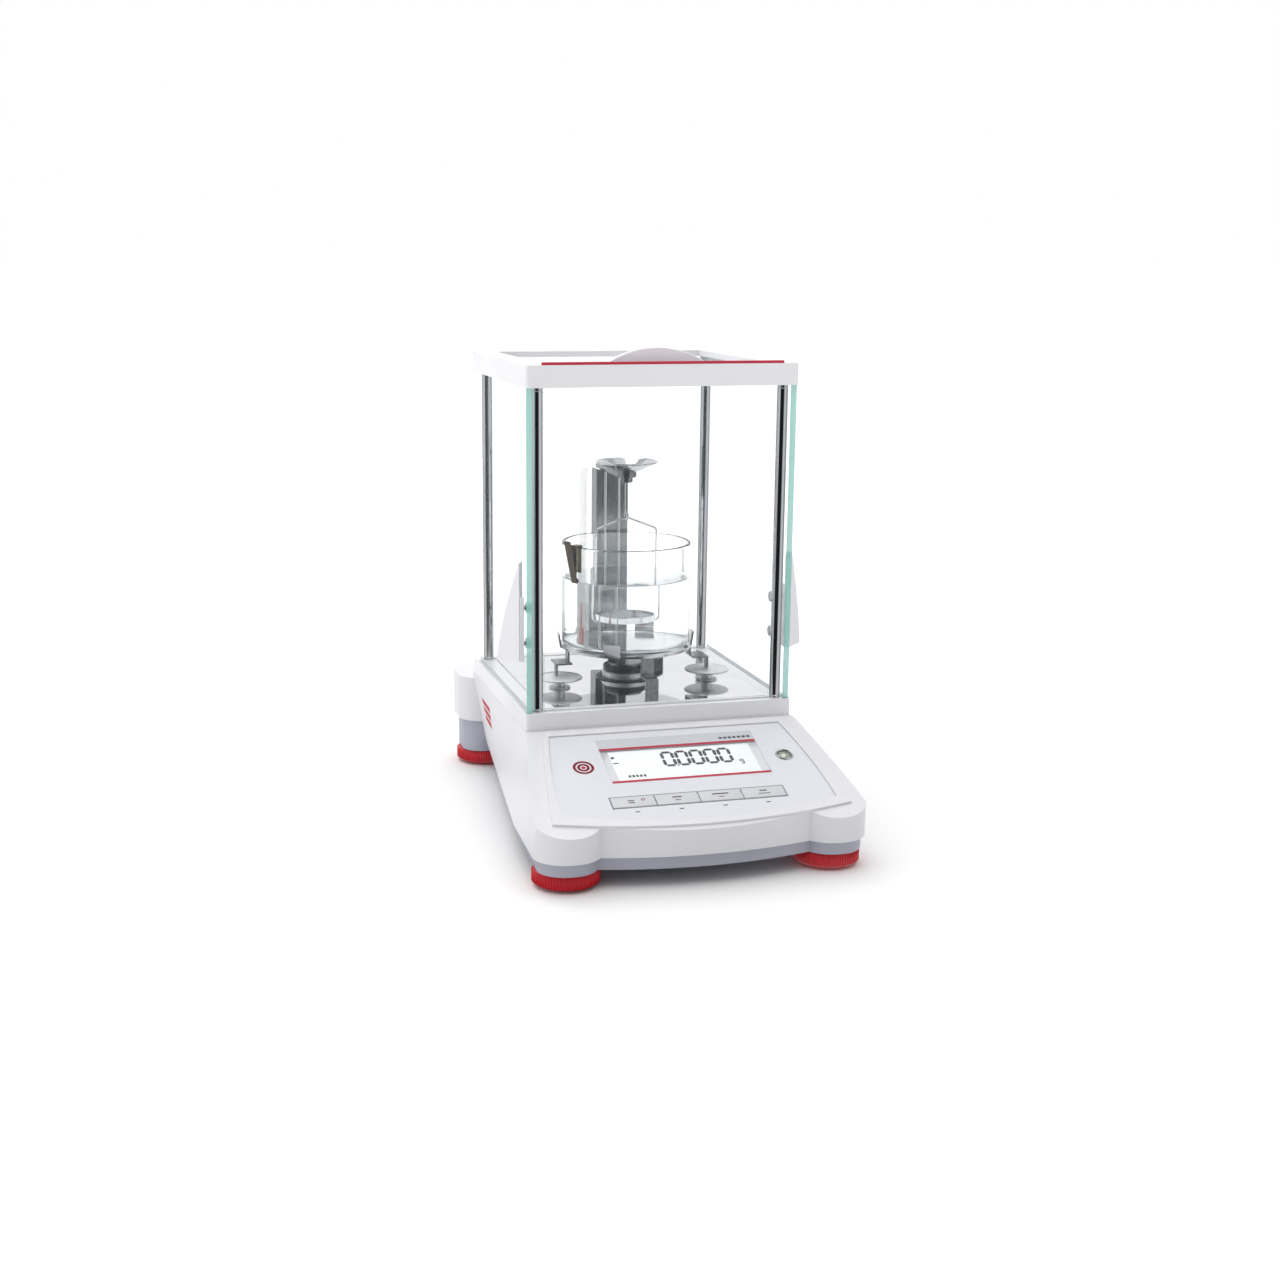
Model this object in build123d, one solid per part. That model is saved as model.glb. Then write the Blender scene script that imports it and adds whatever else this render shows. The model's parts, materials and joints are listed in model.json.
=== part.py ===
from build123d import *
import os
from math import cos, radians, sin

# Analytical balance with a glass weighing chamber and a density kit inside it.
# Frame: +X right, +Y back, +Z up, origin on the table under the middle of the case. Millimetres.

# Overall size
WIDTH = 209.0
DEPTH = 321.0
FRONT_Y = -DEPTH / 2
BACK_Y = DEPTH / 2

# Housing
SCREWS = ((-78, -118), (78, -118), (-80, 0), (80, 0), (-62, 100), (62, 100))
SCREW_HEAD = 2.4
SCREW_TIP = 30.0
FOOT_BOSS_TOP = 26.0
HATCH_RADIUS = 6.0
TRAY_Z = 11.3
SEAM_Z = 19.4
PILLAR_Z = 35.0
REAR_DECK_Z = 67.0
REAR_STEP_Y = 115.0
DECK_Z = 71.8
WALL = 2.5
TRAY_INSET = 2.5
CORE_BACK_Y = 150.0
REAR_LOBE_Y = 112.0
REAR_LOBE_X = 97.0
LOBE_INNER_X = 62.0
LOBE_RADIUS = 20.0
FRONT_ARC_RADIUS = 250.0
LOW_HALF_WIDTHS = ((FRONT_Y, 105.0), (-79.0, 101.5), (130.0, 77.5), (CORE_BACK_Y, 76.0))
TOP_HALF_WIDTHS = ((FRONT_Y, 103.0), (-57.0, 89.0), (130.0, 89.0), (CORE_BACK_Y, 88.0))

# Sockets at the back: across, then up
SOCKET_DEPTH = 14.0
JACK_X = (-47.0, -33.0)
JACK_Z = (45.0, 56.0)
JACK_BORE = 3.2
PORT_X = (-10.0, 22.0)
PORT_Z = (44.0, 57.0)
PORT_RECESS_X = (-3.0, 15.0)
PORT_RECESS_Z = (46.4, 54.6)

# Sloping panel: a plane that starts at the front edge and rises to the chamber
SLOPE_DEG = 20.0
SLOPE_START_Z = 35.3
RIDGE_RISE = 1.5
OVERLAY_BED = -0.4
OVERLAY_TOP = 0.6
LENS_X = 3.2
LENS_WIDTH = 102.6
LENS_LOW = 49.0
LENS_HIGH = 85.0
KEY_NAMES = ("key_zero", "key_print", "key_function", "key_tare")
KEY_START_X = -53.9
KEY_PITCH = 27.45
KEY_LOW = 24.6
KEY_HEIGHT = 9.6
KEY_GAP = 0.3
LEVEL_X = 68.3
LEVEL_S = 66.0
LEVEL_RADIUS = 5.6

# Weighing chamber
FRAME_HALF_X = 88.5
FRAME_FRONT_Y = -55.6
FRAME_BACK_Y = 114.3
FRAME_LOW_TOP = 83.0
TOP_FRAME_Z = 286.0
TOP_FRAME_TOP = 299.7
POST_X = 79.5
POST_FRONT_Y = -49.2
POST_BACK_Y = 103.2
POST_RADIUS = 3.5
POST_SOCKET = 7.0
GLASS = 4.0
FIT = 0.3
FLOOR_Z = 83.4
DOOR_X = 85.4
DOOR_FRONT_Y = -53.9
DOOR_BACK_Y = 109.8
GROOVE_DEPTH = 2.7
LID_Z = 291.5
POST_TOP = 290.0
STRIPE_Y = -54.4
STRIPE_HALF_X = 77.9
STRIPE_TOP = 301.4
LID_HANDLE_TOP = 309.0
LID_HANDLE_Y = -35.0
HANDLE_Y = -44.0
HANDLE_LOW = 115.0
HANDLE_HIGH = 178.0
HANDLE_REACH = 17.0
HANDLE_TURN_DEG = 225.0
HANDLE_FIXINGS = (124.0, 147.0)
FIXING_Y = -34.0

# Weighing axis and density kit
AXIS_Y = 28.2
HUB_RADIUS = 15.7
COLLAR_RADIUS = 17.3
HUB_TOP = 88.3
CUSHION_TOP = 92.2
COLUMN_X = 2.6
COLUMN_HALF_X = 11.25
COLUMN_FRONT_Y = 73.4
COLUMN_DEPTH = 13.6
COLUMN_TOP = 220.0
ARM_HALF_X = 6.0
BOSS_LOW_Z = 216.6
BOSS_RADIUS = 6.5
BOSS_STEP = 2.5
SHEET = 1.5
BEAD_X = 4.9
BEAD_RADIUS = 0.9
LEVER_PIVOT_Y = 50.0
LEVER_Z = 41.0
COIL_Y = 100.0
DISH_Z = 231.0
DISH_RADIUS = 20.9
HOOK_Z = 194.0
HANGER_HALF_X = 21.0
HANGER_SHOULDER_Z = 185.0
HANGER_FOOT_Z = 123.0
WIRE = 0.7
PLATFORM_TOP = 106.8
PLATFORM_RADIUS = 44.5
TAB_ANGLES = (-117, -8, 60, 172)
FRONT_LEG_ANGLE = -86
REAR_LEG_ANGLE = 48
STAND_DISC_X = 51.4
STAND_DISC_Y = 6.3
STAND_DISC_TOP = 91.2
STAND_DISC_RADIUS = 15.0
BEAKER_RADIUS = 43.4
BEAKER_TOP = 177.0
BEAKER_WALL = 2.0
THERMOMETER_X = -34.0
THERMOMETER_Y = 12.2
THERMOMETER_TOP = 229.0
CLIP_ANGLE = 205
CLIP_WIDTH = 6.0

# Levelling feet
FEET = {
    "front_left": (-82.5, -136.3),
    "front_right": (82.5, -136.3),
    "rear_left": (-76.0, 136.0),
    "rear_right": (76.0, 136.0),
}
WHEEL_RADIUS = 20.6
WHEEL_TOP = 10.7
WHEEL_BOTTOM = 2.0
STEM_RADIUS = 4.0
RIB_COUNT = 60


def block(x0, x1, y0, y1, z0, z1):
    """Box between two corners."""
    return Pos((x0 + x1) / 2, (y0 + y1) / 2, (z0 + z1) / 2) * Box(x1 - x0, y1 - y0, z1 - z0)


def rod(x, y, z0, z1, radius):
    """Upright cylinder."""
    return Pos(x, y, (z0 + z1) / 2) * Cylinder(radius, z1 - z0)


def tube(x, y, z0, z1, outer, inner):
    """Upright ring."""
    return rod(x, y, z0, z1, outer) - rod(x, y, z0 - 1, z1 + 1, inner)


def rounded(x0, x1, y0, y1, z0, z1, radius):
    """Box with rounded upright corners."""
    outline = Pos((x0 + x1) / 2, (y0 + y1) / 2, z0) * RectangleRounded(x1 - x0, y1 - y0, radius)
    return extrude(outline, z1 - z0)


def mirrored(shape):
    """The shape together with its mirror image in the YZ plane."""
    return [shape, mirror(shape, about=Plane.YZ)]


def save(name, *solids):
    """Writes one node as a STEP file."""
    pieces = [solid for item in solids for solid in item.solids()]
    export_step(pieces[0] if len(pieces) == 1 else Compound(children=pieces), f"parts/{name}.step")


# Panel coordinates: x across, s up the slope, height outwards from it
PANEL = Plane(
    origin=(0, FRONT_Y, SLOPE_START_Z),
    x_dir=(1, 0, 0),
    z_dir=(0, -sin(radians(SLOPE_DEG)), cos(radians(SLOPE_DEG))),
).location


def panel_block(x0, x1, s0, s1, h0, h1):
    """Box in panel coordinates."""
    return PANEL * block(x0, x1, s0, s1, h0, h1)


def panel_outline(low_x, low_s, dip_s, mid_x, mid_s, high_x, high_s, h0, h1):
    """Shield shape of the panel: bowed bottom, slightly bowed sides, straight top."""
    outline = [
        ThreePointArc((-low_x, low_s), (0, dip_s), (low_x, low_s)),
        ThreePointArc((low_x, low_s), (mid_x, mid_s), (high_x, high_s)),
        Line((high_x, high_s), (-high_x, high_s)),
        ThreePointArc((-high_x, high_s), (-mid_x, mid_s), (-low_x, low_s)),
    ]
    return PANEL * Pos(0, 0, h0) * extrude(make_face(outline), h1 - h0)


def shield(grow, h0, h1):
    """Outline of the keypad overlay, grown or shrunk by a margin."""
    return panel_outline(
        86 + grow, 20 - grow, 8.3 - grow, 83.4 + grow, 58, 76 + grow, 100.5 + grow, h0, h1
    )


# Housing


def core(inset):
    """Tapered body of the case, with the waist that narrows towards the back."""

    def section(widths, z):
        right = [(half - inset, max(y, FRONT_Y + inset)) for y, half in widths]
        right[-1] = (right[-1][0], CORE_BACK_Y - inset)
        left = [(-x, y) for x, y in reversed(right)]
        return Pos(0, 0, z) * make_face(Polyline(*right, *left, close=True))

    return loft([section(LOW_HALF_WIDTHS, SEAM_Z), section(TOP_HALF_WIDTHS, DECK_Z - inset)], ruled=True)


def front_lobe(inset, z0, z1):
    """Rounded foot lobe at the right front corner."""
    return rounded(
        LOBE_INNER_X + inset, WIDTH / 2 - inset, FRONT_Y + inset, -80, z0, z1, LOBE_RADIUS - inset
    )


def plan_limit(inset, z0, z1):
    """Upright prism of the case's plan: two front lobes and a bowed front between them."""
    centre_y = FRONT_Y + FRONT_ARC_RADIUS
    bow = rod(0, centre_y, z0, z1, FRONT_ARC_RADIUS - inset)
    middle = block(-LOBE_INNER_X - 15, LOBE_INNER_X + 15, FRONT_Y - 5, -100, z0, z1) & bow
    rear = block(-120, 120, -105, BACK_Y, z0, z1)
    lobes = mirrored(front_lobe(inset, z0, z1))
    return middle + rear + lobes[0] + lobes[1]


def rear_lobe(inset, z0, z1):
    """Rounded foot lobe at the right back corner."""
    return rounded(
        52 + inset, REAR_LOBE_X - inset, REAR_LOBE_Y + inset, BACK_Y - inset, z0, z1, 16 - inset
    )


def case_body(inset):
    """Solid shape of the upper housing, with every wall moved in by the inset."""
    body = core(inset) & plan_limit(inset, SEAM_Z, DECK_Z)
    body -= block(-WIDTH, WIDTH, REAR_STEP_Y - inset, DEPTH, REAR_DECK_Z - inset, DECK_Z + 1)
    for lobe in mirrored(rear_lobe(inset, PILLAR_Z, REAR_DECK_Z - inset)):
        body += lobe
    return body - panel_block(-150, 150, -60, 250, -inset, 100)


def upper_housing():
    """One moulded shell: sloping front, waist, deck and rear lobes."""
    ridge = panel_outline(93.5, 13.5, 3.6, 87.5, 60, 79, 105, -1, RIDGE_RISE)
    shell = case_body(0) + ridge - case_body(WALL)
    for side in (-1, 1):
        shell -= pillar(side, -0.15, SEAM_Z - 1, PILLAR_Z)
    bosses = [rod(x, y, SEAM_Z, 80, 4.2) & case_body(1) for x, y in SCREWS]
    for boss, (x, y) in zip(bosses, SCREWS):
        shell += boss - rod(x, y, 0, SCREW_TIP + 1, 1.5)
    shell -= shield(0.15, OVERLAY_BED, 5)
    shell -= panel_block(LENS_X - 46, LENS_X + 46, LENS_LOW + 3, LENS_HIGH - 3, -6, 5)
    shell -= key_slot(-6, 5)
    shell -= PANEL * rod(LEVEL_X, LEVEL_S, -6, 5, LEVEL_RADIUS + 0.1)
    shell -= rod(0, AXIS_Y, DECK_Z - 10, DECK_Z + 1, 9)
    for xs, zs in ((JACK_X, JACK_Z), (PORT_X, PORT_Z)):
        shell -= socket_block(xs, zs, 0.2, CORE_BACK_Y - 20, CORE_BACK_Y + 2)
    return shell


def socket_block(xs, zs, grow, y0, y1):
    """Block of a rear socket, grown by a margin across and up."""
    return block(xs[0] - grow, xs[1] + grow, y0, y1, zs[0] - grow, zs[1] + grow)


def power_jack():
    """Low-voltage barrel socket with its centre pin."""
    x, z = sum(JACK_X) / 2, sum(JACK_Z) / 2
    jack = socket_block(JACK_X, JACK_Z, 0, CORE_BACK_Y - SOCKET_DEPTH, CORE_BACK_Y + 1)
    jack -= Pos(x, CORE_BACK_Y - 4, z) * Rot(90, 0, 0) * Cylinder(JACK_BORE, 12)
    return jack + Pos(x, CORE_BACK_Y - 6, z) * Rot(90, 0, 0) * Cylinder(1.0, 13)


def serial_port():
    """Data socket with a recessed face."""
    port = socket_block(PORT_X, PORT_Z, 0, CORE_BACK_Y - SOCKET_DEPTH, CORE_BACK_Y + 1)
    return port - socket_block(PORT_RECESS_X, PORT_RECESS_Z, 0, CORE_BACK_Y - 5, CORE_BACK_Y + 2)


def key_slot(h0, h1):
    """Opening shared by the four keys."""
    end_x = KEY_START_X + len(KEY_NAMES) * KEY_PITCH
    return panel_block(KEY_START_X, end_x, KEY_LOW, KEY_LOW + KEY_HEIGHT + 2 * KEY_GAP, h0, h1)


def tray_outline(inset, z0, z1):
    """Plan of the lower housing, a little inside the upper one."""
    shape = plan_limit(inset, z0, z1)
    right = [(half - inset, max(y, FRONT_Y)) for y, half in LOW_HALF_WIDTHS]
    left = [(-x, y) for x, y in reversed(right)]
    return shape & Pos(0, 0, z0) * extrude(make_face(Polyline(*right, *left, close=True)), z1 - z0)


def pillar(side, inset, z0, z1):
    """Rear foot pillar on one side."""
    x0, x1 = sorted((side * 58.0, side * 94.0))
    return rounded(x0 + inset, x1 - inset, 116 + inset, 156 - inset, z0, z1, 14 - inset)


def lower_housing():
    """Tray with a floor, low walls, rear pillars, foot bosses and screw bosses."""
    inset = TRAY_INSET
    floor_z = TRAY_Z + WALL
    tray = tray_outline(inset, TRAY_Z, SEAM_Z) - tray_outline(inset + WALL, floor_z, SEAM_Z + 1)
    for side in (-1, 1):
        tray += pillar(side, 0, TRAY_Z, PILLAR_Z - 0.1)
        tray -= pillar(side, WALL, floor_z, PILLAR_Z)
    for x, y in FEET.values():
        tray += tube(x, y, TRAY_Z, FOOT_BOSS_TOP, 7.5, STEM_RADIUS + 0.1)
        tray -= rod(x, y, 0, FOOT_BOSS_TOP, STEM_RADIUS + 0.1)
    for x, y in SCREWS:
        tray += rod(x, y, TRAY_Z, SEAM_Z - 0.1, 4.4)
        tray -= rod(x, y, 0, 40, 1.8) + rod(x, y, 0, TRAY_Z + SCREW_HEAD, 3.2)
    tray -= rod(0, AXIS_Y, 0, 30, HATCH_RADIUS)
    return tray


def housing_screws():
    """Six screws that close the case from below."""
    screws = []
    for x, y in SCREWS:
        head = rod(x, y, TRAY_Z + 0.4, TRAY_Z + SCREW_HEAD, 3.0)
        slot = block(x - 2, x + 2, y - 0.4, y + 0.4, TRAY_Z, TRAY_Z + 1.4)
        cross = block(x - 0.4, x + 0.4, y - 2, y + 2, TRAY_Z, TRAY_Z + 1.4)
        screws.append(head + rod(x, y, TRAY_Z + SCREW_HEAD, SCREW_TIP, 1.5) - slot - cross)
    return screws


# Panel pieces


def keypad_overlay():
    """Thin printed panel with openings for the lens, the keys and the level."""
    sheet = shield(0, OVERLAY_BED, OVERLAY_TOP)
    sheet -= panel_block(LENS_X - LENS_WIDTH / 2, LENS_X + LENS_WIDTH / 2, LENS_LOW, LENS_HIGH, -2, 2)
    return sheet - key_slot(-2, 2) - PANEL * rod(LEVEL_X, LEVEL_S, -2, 2, LEVEL_RADIUS + 0.1)


def display_lens():
    """Clear window in the overlay."""
    half = LENS_WIDTH / 2 - 0.1
    return panel_block(LENS_X - half, LENS_X + half, LENS_LOW + 0.1, LENS_HIGH - 0.1, OVERLAY_BED, 0.5)


def lcd_module():
    """Display module behind the window: a bezel, and the glass cell that fills the opening."""
    low, high = LENS_LOW + 1.5, LENS_HIGH - 1.5
    case = panel_block(LENS_X - 50, LENS_X + 50, low, high, -9, -2.7)
    return case + panel_block(LENS_X - 45.8, LENS_X + 45.8, LENS_LOW + 3.2, LENS_HIGH - 3.2, -2.7, -0.7)


def key_cap(index):
    """Key with a stop flange above and below, inside the case."""
    x0 = KEY_START_X + index * KEY_PITCH + KEY_GAP
    x1 = x0 + KEY_PITCH - 2 * KEY_GAP
    s0, s1 = KEY_LOW + KEY_GAP, KEY_LOW + KEY_GAP + KEY_HEIGHT
    return panel_block(x0, x1, s0, s1, -4.4, 1.0) + panel_block(x0, x1, s0 - 1.2, s1 + 1.2, -4.4, -3.3)


def level_pieces():
    """Cup and vial of the spirit level."""
    cup = rod(LEVEL_X, LEVEL_S, -7, 1.1, LEVEL_RADIUS) - rod(LEVEL_X, LEVEL_S, -6, 2, 4.5)
    vial = rod(LEVEL_X, LEVEL_S, -5.9, 0.5, 4.4)
    return PANEL * cup, PANEL * vial


def main_board():
    """Circuit board with its larger components, parallel to the panel."""
    board = panel_block(-62, 62, 22, 92, -13.6, -12.0)
    for x, s, width, height, rise in ((-40, 38, 14, 14, 1.6), (10, 36, 10, 10, 1.4), (38, 60, 18, 8, 2.6)):
        board += panel_block(x, x + width, s, s + height, -12.0, -12.0 + rise)
    return board


# Chamber


def frame_block(z0, z1, half_x):
    """Outer block of a chamber frame."""
    return rounded(-half_x, half_x, FRAME_FRONT_Y, FRAME_BACK_Y, z0, z1, 2.5)


def glass_grooves(z0, z1):
    """Grooves for the side doors, open at the back, and for the front and rear glass."""
    cut = []
    for side in (-1, 1):
        x = side * DOOR_X
        half = GLASS / 2 + FIT / 2
        cut.append(block(x - half, x + half, DOOR_FRONT_Y - FIT, FRAME_BACK_Y + 5, z0, z1))
    for y in (POST_FRONT_Y, POST_BACK_Y):
        cut.append(block(-75.7, 75.7, y - GLASS / 2, y + GLASS / 2, z0, z1))
    return cut


def lower_frame():
    """Bottom frame of the chamber, with a ledge for the steel floor."""
    ring = frame_block(DECK_Z, FRAME_LOW_TOP, FRAME_HALF_X) - block(-72, 72, -43, 97, 60, 100)
    ring -= block(-74.6, 74.6, -44.6, 98.6, FLOOR_Z - 1.2, 100)
    for groove in glass_grooves(FRAME_LOW_TOP - GROOVE_DEPTH, FRAME_LOW_TOP + 1):
        ring -= groove
    return ring - posts_at(FRAME_LOW_TOP - POST_SOCKET, FRAME_LOW_TOP + 1, POST_RADIUS)


def chamber_floor():
    """Steel sheet on the ledge of the lower frame."""
    sheet = block(-74.4, 74.4, -44.4, 98.4, FLOOR_Z - 1.2, FLOOR_Z)
    return sheet - rod(0, AXIS_Y, 80, 85, COLLAR_RADIUS + 0.1)


def floor_collar():
    """Flanged ring in the opening of the steel floor."""
    inner = HUB_RADIUS + 0.5
    sleeve = tube(0, AXIS_Y, 78, FLOOR_Z, COLLAR_RADIUS, inner)
    return sleeve + tube(0, AXIS_Y, FLOOR_Z, FLOOR_Z + 0.6, COLLAR_RADIUS + 2.7, inner)


def top_stripe():
    """Coloured strip that stands along the front edge of the top frame."""
    half = STRIPE_HALF_X
    return block(-half, half, STRIPE_Y - 0.9, STRIPE_Y + 0.9, TOP_FRAME_TOP - 0.6, STRIPE_TOP)


def top_frame():
    """Top frame of the chamber, with the tracks of the sliding lid."""
    ring = frame_block(TOP_FRAME_Z, TOP_FRAME_TOP, FRAME_HALF_X - 0.5)
    ring -= block(-73, 73, -42, 100.3, 280, 310)
    ring -= block(-78.3, 78.3, -44.3, FRAME_BACK_Y + 5, LID_Z - FIT, LID_Z + GLASS + FIT)
    for groove in glass_grooves(TOP_FRAME_Z - 1, TOP_FRAME_Z + 5):
        ring -= groove
    ring -= posts_at(TOP_FRAME_Z - 1, POST_TOP, POST_RADIUS)
    half = STRIPE_HALF_X + 0.1
    return ring - block(-half, half, STRIPE_Y - 1, STRIPE_Y + 1, TOP_FRAME_TOP - 0.6, 310)


def posts_at(z0, z1, radius):
    """Four corner posts as one shape."""
    places = [(x, y) for x in (-POST_X, POST_X) for y in (POST_FRONT_Y, POST_BACK_Y)]
    return [rod(x, y, z0, z1, radius) for x, y in places]


def side_door():
    """Right glass door with its outside handle and the fixings through the glass."""
    low, high = FRAME_LOW_TOP - GROOVE_DEPTH + FIT, TOP_FRAME_Z + 4.7
    outer = DOOR_X + GLASS / 2
    glass = block(outer - GLASS, outer, DOOR_FRONT_Y, DOOR_BACK_Y, low, high)
    outline = [
        Line((0, HANDLE_LOW), (-HANDLE_REACH, HANDLE_LOW)),
        ThreePointArc((-HANDLE_REACH, HANDLE_LOW), (-9.5, 150), (0, HANDLE_HIGH)),
        Line((0, HANDLE_HIGH), (0, HANDLE_LOW)),
    ]
    sail = extrude(Plane.XZ * make_face(outline), 2.6, both=True)
    wing = Pos(outer + 1.2, HANDLE_Y, 0) * Rot(0, 0, HANDLE_TURN_DEG) * sail
    wing &= block(outer + 0.1, 200, -200, 200, 0, 400)
    plate = block(outer, outer + 2.2, HANDLE_Y - 3, HANDLE_Y + 16, HANDLE_LOW, HANDLE_HIGH - 22)
    handle = plate + wing
    handle = handle & block(outer, WIDTH / 2 - 1, -200, 200, 0, 400)
    fixings = []
    for z in HANDLE_FIXINGS:
        handle -= cross_rod(outer - 9, outer + 2.2, FIXING_Y, z, 1.6)
        glass -= cross_rod(outer - 9, outer + 1, FIXING_Y, z, 1.6)
        knob = cross_rod(outer - GLASS - 3.4, outer - GLASS, FIXING_Y, z, 3.6)
        fixings.append(knob + cross_rod(outer - GLASS, outer + 2.0, FIXING_Y, z, 1.6))
    return glass, handle, fixings


def cross_rod(x0, x1, y, z, radius):
    """Cylinder along X."""
    return Pos((x0 + x1) / 2, y, z) * Rot(0, 90, 0) * Cylinder(radius, x1 - x0)


def lid():
    """Sliding top door and its handle, a low arc."""
    glass = block(-78, 78, -44, 112, LID_Z, LID_Z + GLASS)
    rise = LID_HANDLE_TOP - LID_Z - GLASS
    ends = ((-38, 0), (0, rise), (38, 0))
    arc = make_face([ThreePointArc(*ends), Line(ends[2], ends[0])])
    fin = extrude(Plane.XZ * arc, 2.5, both=True)
    base = block(-38, 38, LID_HANDLE_Y - 4, LID_HANDLE_Y + 4, LID_Z + GLASS, LID_Z + GLASS + 1.6)
    return glass, Pos(0, LID_HANDLE_Y, LID_Z + GLASS) * fin + base


# Weighing system


def hanger_post():
    """Load pin: flexure block inside the case and the shaft up to the hub."""
    block_part = block(-6, 6, AXIS_Y - 4, AXIS_Y + 4, 20, 60)
    link = rod(0, AXIS_Y, 16.6, 20, 3) - cross_rod(-5, 5, AXIS_Y, 18.4, 1.0)
    return block_part + rod(0, AXIS_Y, 60, 82, 4) + link


def bracket_hub():
    """Steel hub that sits on the load pin."""
    hub = rod(0, AXIS_Y, 79, HUB_TOP, HUB_RADIUS) - rod(0, AXIS_Y, 78, 82, 4)
    return hub - rod(0, AXIS_Y, 78, 81, 11) + tube(0, AXIS_Y, 79, 81, 8, 4)


def bracket_column():
    """Folded steel channel behind the beaker, with its foot reaching forward to the hub."""
    y0, y1 = COLUMN_FRONT_Y, COLUMN_FRONT_Y + COLUMN_DEPTH
    x0, x1 = COLUMN_X - COLUMN_HALF_X, COLUMN_X + COLUMN_HALF_X
    foot_top = CUSHION_TOP + 2
    column = block(x0, x1, y0, y1, CUSHION_TOP, COLUMN_TOP)
    column -= block(x0 + SHEET, x1 - SHEET, y0 + SHEET, y1 + 1, foot_top, COLUMN_TOP + 1)
    for bead_x in (COLUMN_X - BEAD_X, COLUMN_X + BEAD_X):
        column += rod(bead_x, y0 + 0.15, CUSHION_TOP, COLUMN_TOP, BEAD_RADIUS)
    foot = block(-8, 8, AXIS_Y, y0 + 2, CUSHION_TOP, foot_top) + rod(0, AXIS_Y, CUSHION_TOP, foot_top, 12)
    return column + foot


def bracket_top_arm():
    """Arm from the column to the weighing axis, with the boss under the upper dish."""
    arm = block(-ARM_HALF_X, ARM_HALF_X, AXIS_Y, COLUMN_FRONT_Y + COLUMN_DEPTH, COLUMN_TOP, COLUMN_TOP + 3)
    boss = rod(0, AXIS_Y, COLUMN_TOP, COLUMN_TOP + 4, BOSS_RADIUS)
    return arm + boss + rod(0, AXIS_Y, BOSS_LOW_Z, COLUMN_TOP, BOSS_RADIUS - BOSS_STEP)


def upper_dish():
    """Shallow weighing dish for the dry weight."""
    z = COLUMN_TOP + 4
    outline = [
        Polyline((0, z), (8, z), (DISH_RADIUS, DISH_Z - 1), (DISH_RADIUS, DISH_Z)),
        Polyline((DISH_RADIUS, DISH_Z), (DISH_RADIUS - 0.9, DISH_Z), (7.6, z + 1), (0, z + 1), (0, z)),
    ]
    return Pos(0, AXIS_Y, 0) * revolve(Plane.XZ * make_face(outline), Axis.Z)


def hook_rod():
    """Rod under the arm with an eye for the sample holder."""
    eye = Pos(0, AXIS_Y, HOOK_Z) * Rot(0, 90, 0) * Torus(2.7, 0.8)
    return rod(0, AXIS_Y, HOOK_Z + 2.4, BOSS_LOW_Z, 1.2) + eye


def sample_holder():
    """Bent wire bail and the perforated dish that hangs in the liquid."""
    x, low, high = HANGER_HALF_X, HANGER_FOOT_Z, HANGER_SHOULDER_Z
    corners = [(-10, low), (-x, low), (-x, high), (0, HOOK_Z - 0.75), (x, high), (x, low), (10, low)]
    path = FilletPolyline(*corners, radius=(2.5, 3, 3, 3, 2.5))
    path = Pos(0, AXIS_Y, 0) * Plane.XZ * path
    section = Plane(origin=path @ 0, z_dir=path % 0) * Circle(WIRE)
    bail = sweep(section, path=path)
    base = low + WIRE
    dish = rod(0, AXIS_Y, base, base + 4, 18) - rod(0, AXIS_Y, base + 1, base + 5, 17.2)
    for count, ring in ((6, 6.0), (12, 12.0)):
        for place in PolarLocations(ring, count):
            dish -= Pos(0, AXIS_Y, base) * place * Cylinder(1.3, 6)
    return bail, dish


def lever_pieces():
    """Lever of the weighing cell and the force coil that it carries."""
    tip_y = AXIS_Y + 5
    lever = block(-8, 8, tip_y, COIL_Y + 12, LEVER_Z - 3, LEVER_Z + 3)
    lever -= block(-5, 5, LEVER_PIVOT_Y + 8, COIL_Y - 12, LEVER_Z - 4, LEVER_Z + 4)
    coil = tube(0, COIL_Y, 28, LEVER_Z - 3, 10, 8)
    return lever, coil


def load_cell_block():
    """Machined block around the lever, screwed to the tray."""
    body = block(-22, 22, 44, 120, TRAY_Z + WALL, 20)
    for x0, x1 in ((-22, -15), (15, 22)):
        body += block(x0, x1, 44, 120, 20, 58)
    body += block(-22, 22, 44, 60, 52, 58)
    pivots = block(-15, -9.5, 48, 52, LEVER_Z - 1, LEVER_Z + 1)
    body += pivots + mirror(pivots, about=Plane.YZ)
    for z in (24, 54):
        body += block(-5, 5, AXIS_Y + 4.6, 44, z, z + 1.2) + block(-22, 22, 42, 46, z - 1, z + 2.2)
    return body


def magnet_pot():
    """Permanent magnet with the ring gap for the coil."""
    pot = rod(0, COIL_Y, 20, 35, 13)
    return pot - tube(0, COIL_Y, 24, 36, 11.2, 6.8)


# Density kit that stands on the chamber floor


def on_platform_edge(angle, shape):
    """Turns a shape made at +X about the weighing axis."""
    return Pos(0, AXIS_Y, 0) * Rot(0, 0, angle) * shape


def stand_platform():
    """Round platform over the hub, with four leaning tabs that keep the beaker in place."""
    plate = rod(0, AXIS_Y, PLATFORM_TOP - SHEET, PLATFORM_TOP, PLATFORM_RADIUS)
    inner = BEAKER_RADIUS + 0.5
    rise = 8.0
    profile = Polyline(
        (inner, PLATFORM_TOP - SHEET), (inner + 1.1, PLATFORM_TOP - SHEET),
        (inner + 2.6, PLATFORM_TOP + rise), (inner + 1.5, PLATFORM_TOP + rise), close=True,
    )
    tab = extrude(Plane.XZ * make_face(profile), 5.5, both=True)
    for angle in TAB_ANGLES:
        plate += on_platform_edge(angle, tab)
    return plate


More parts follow.
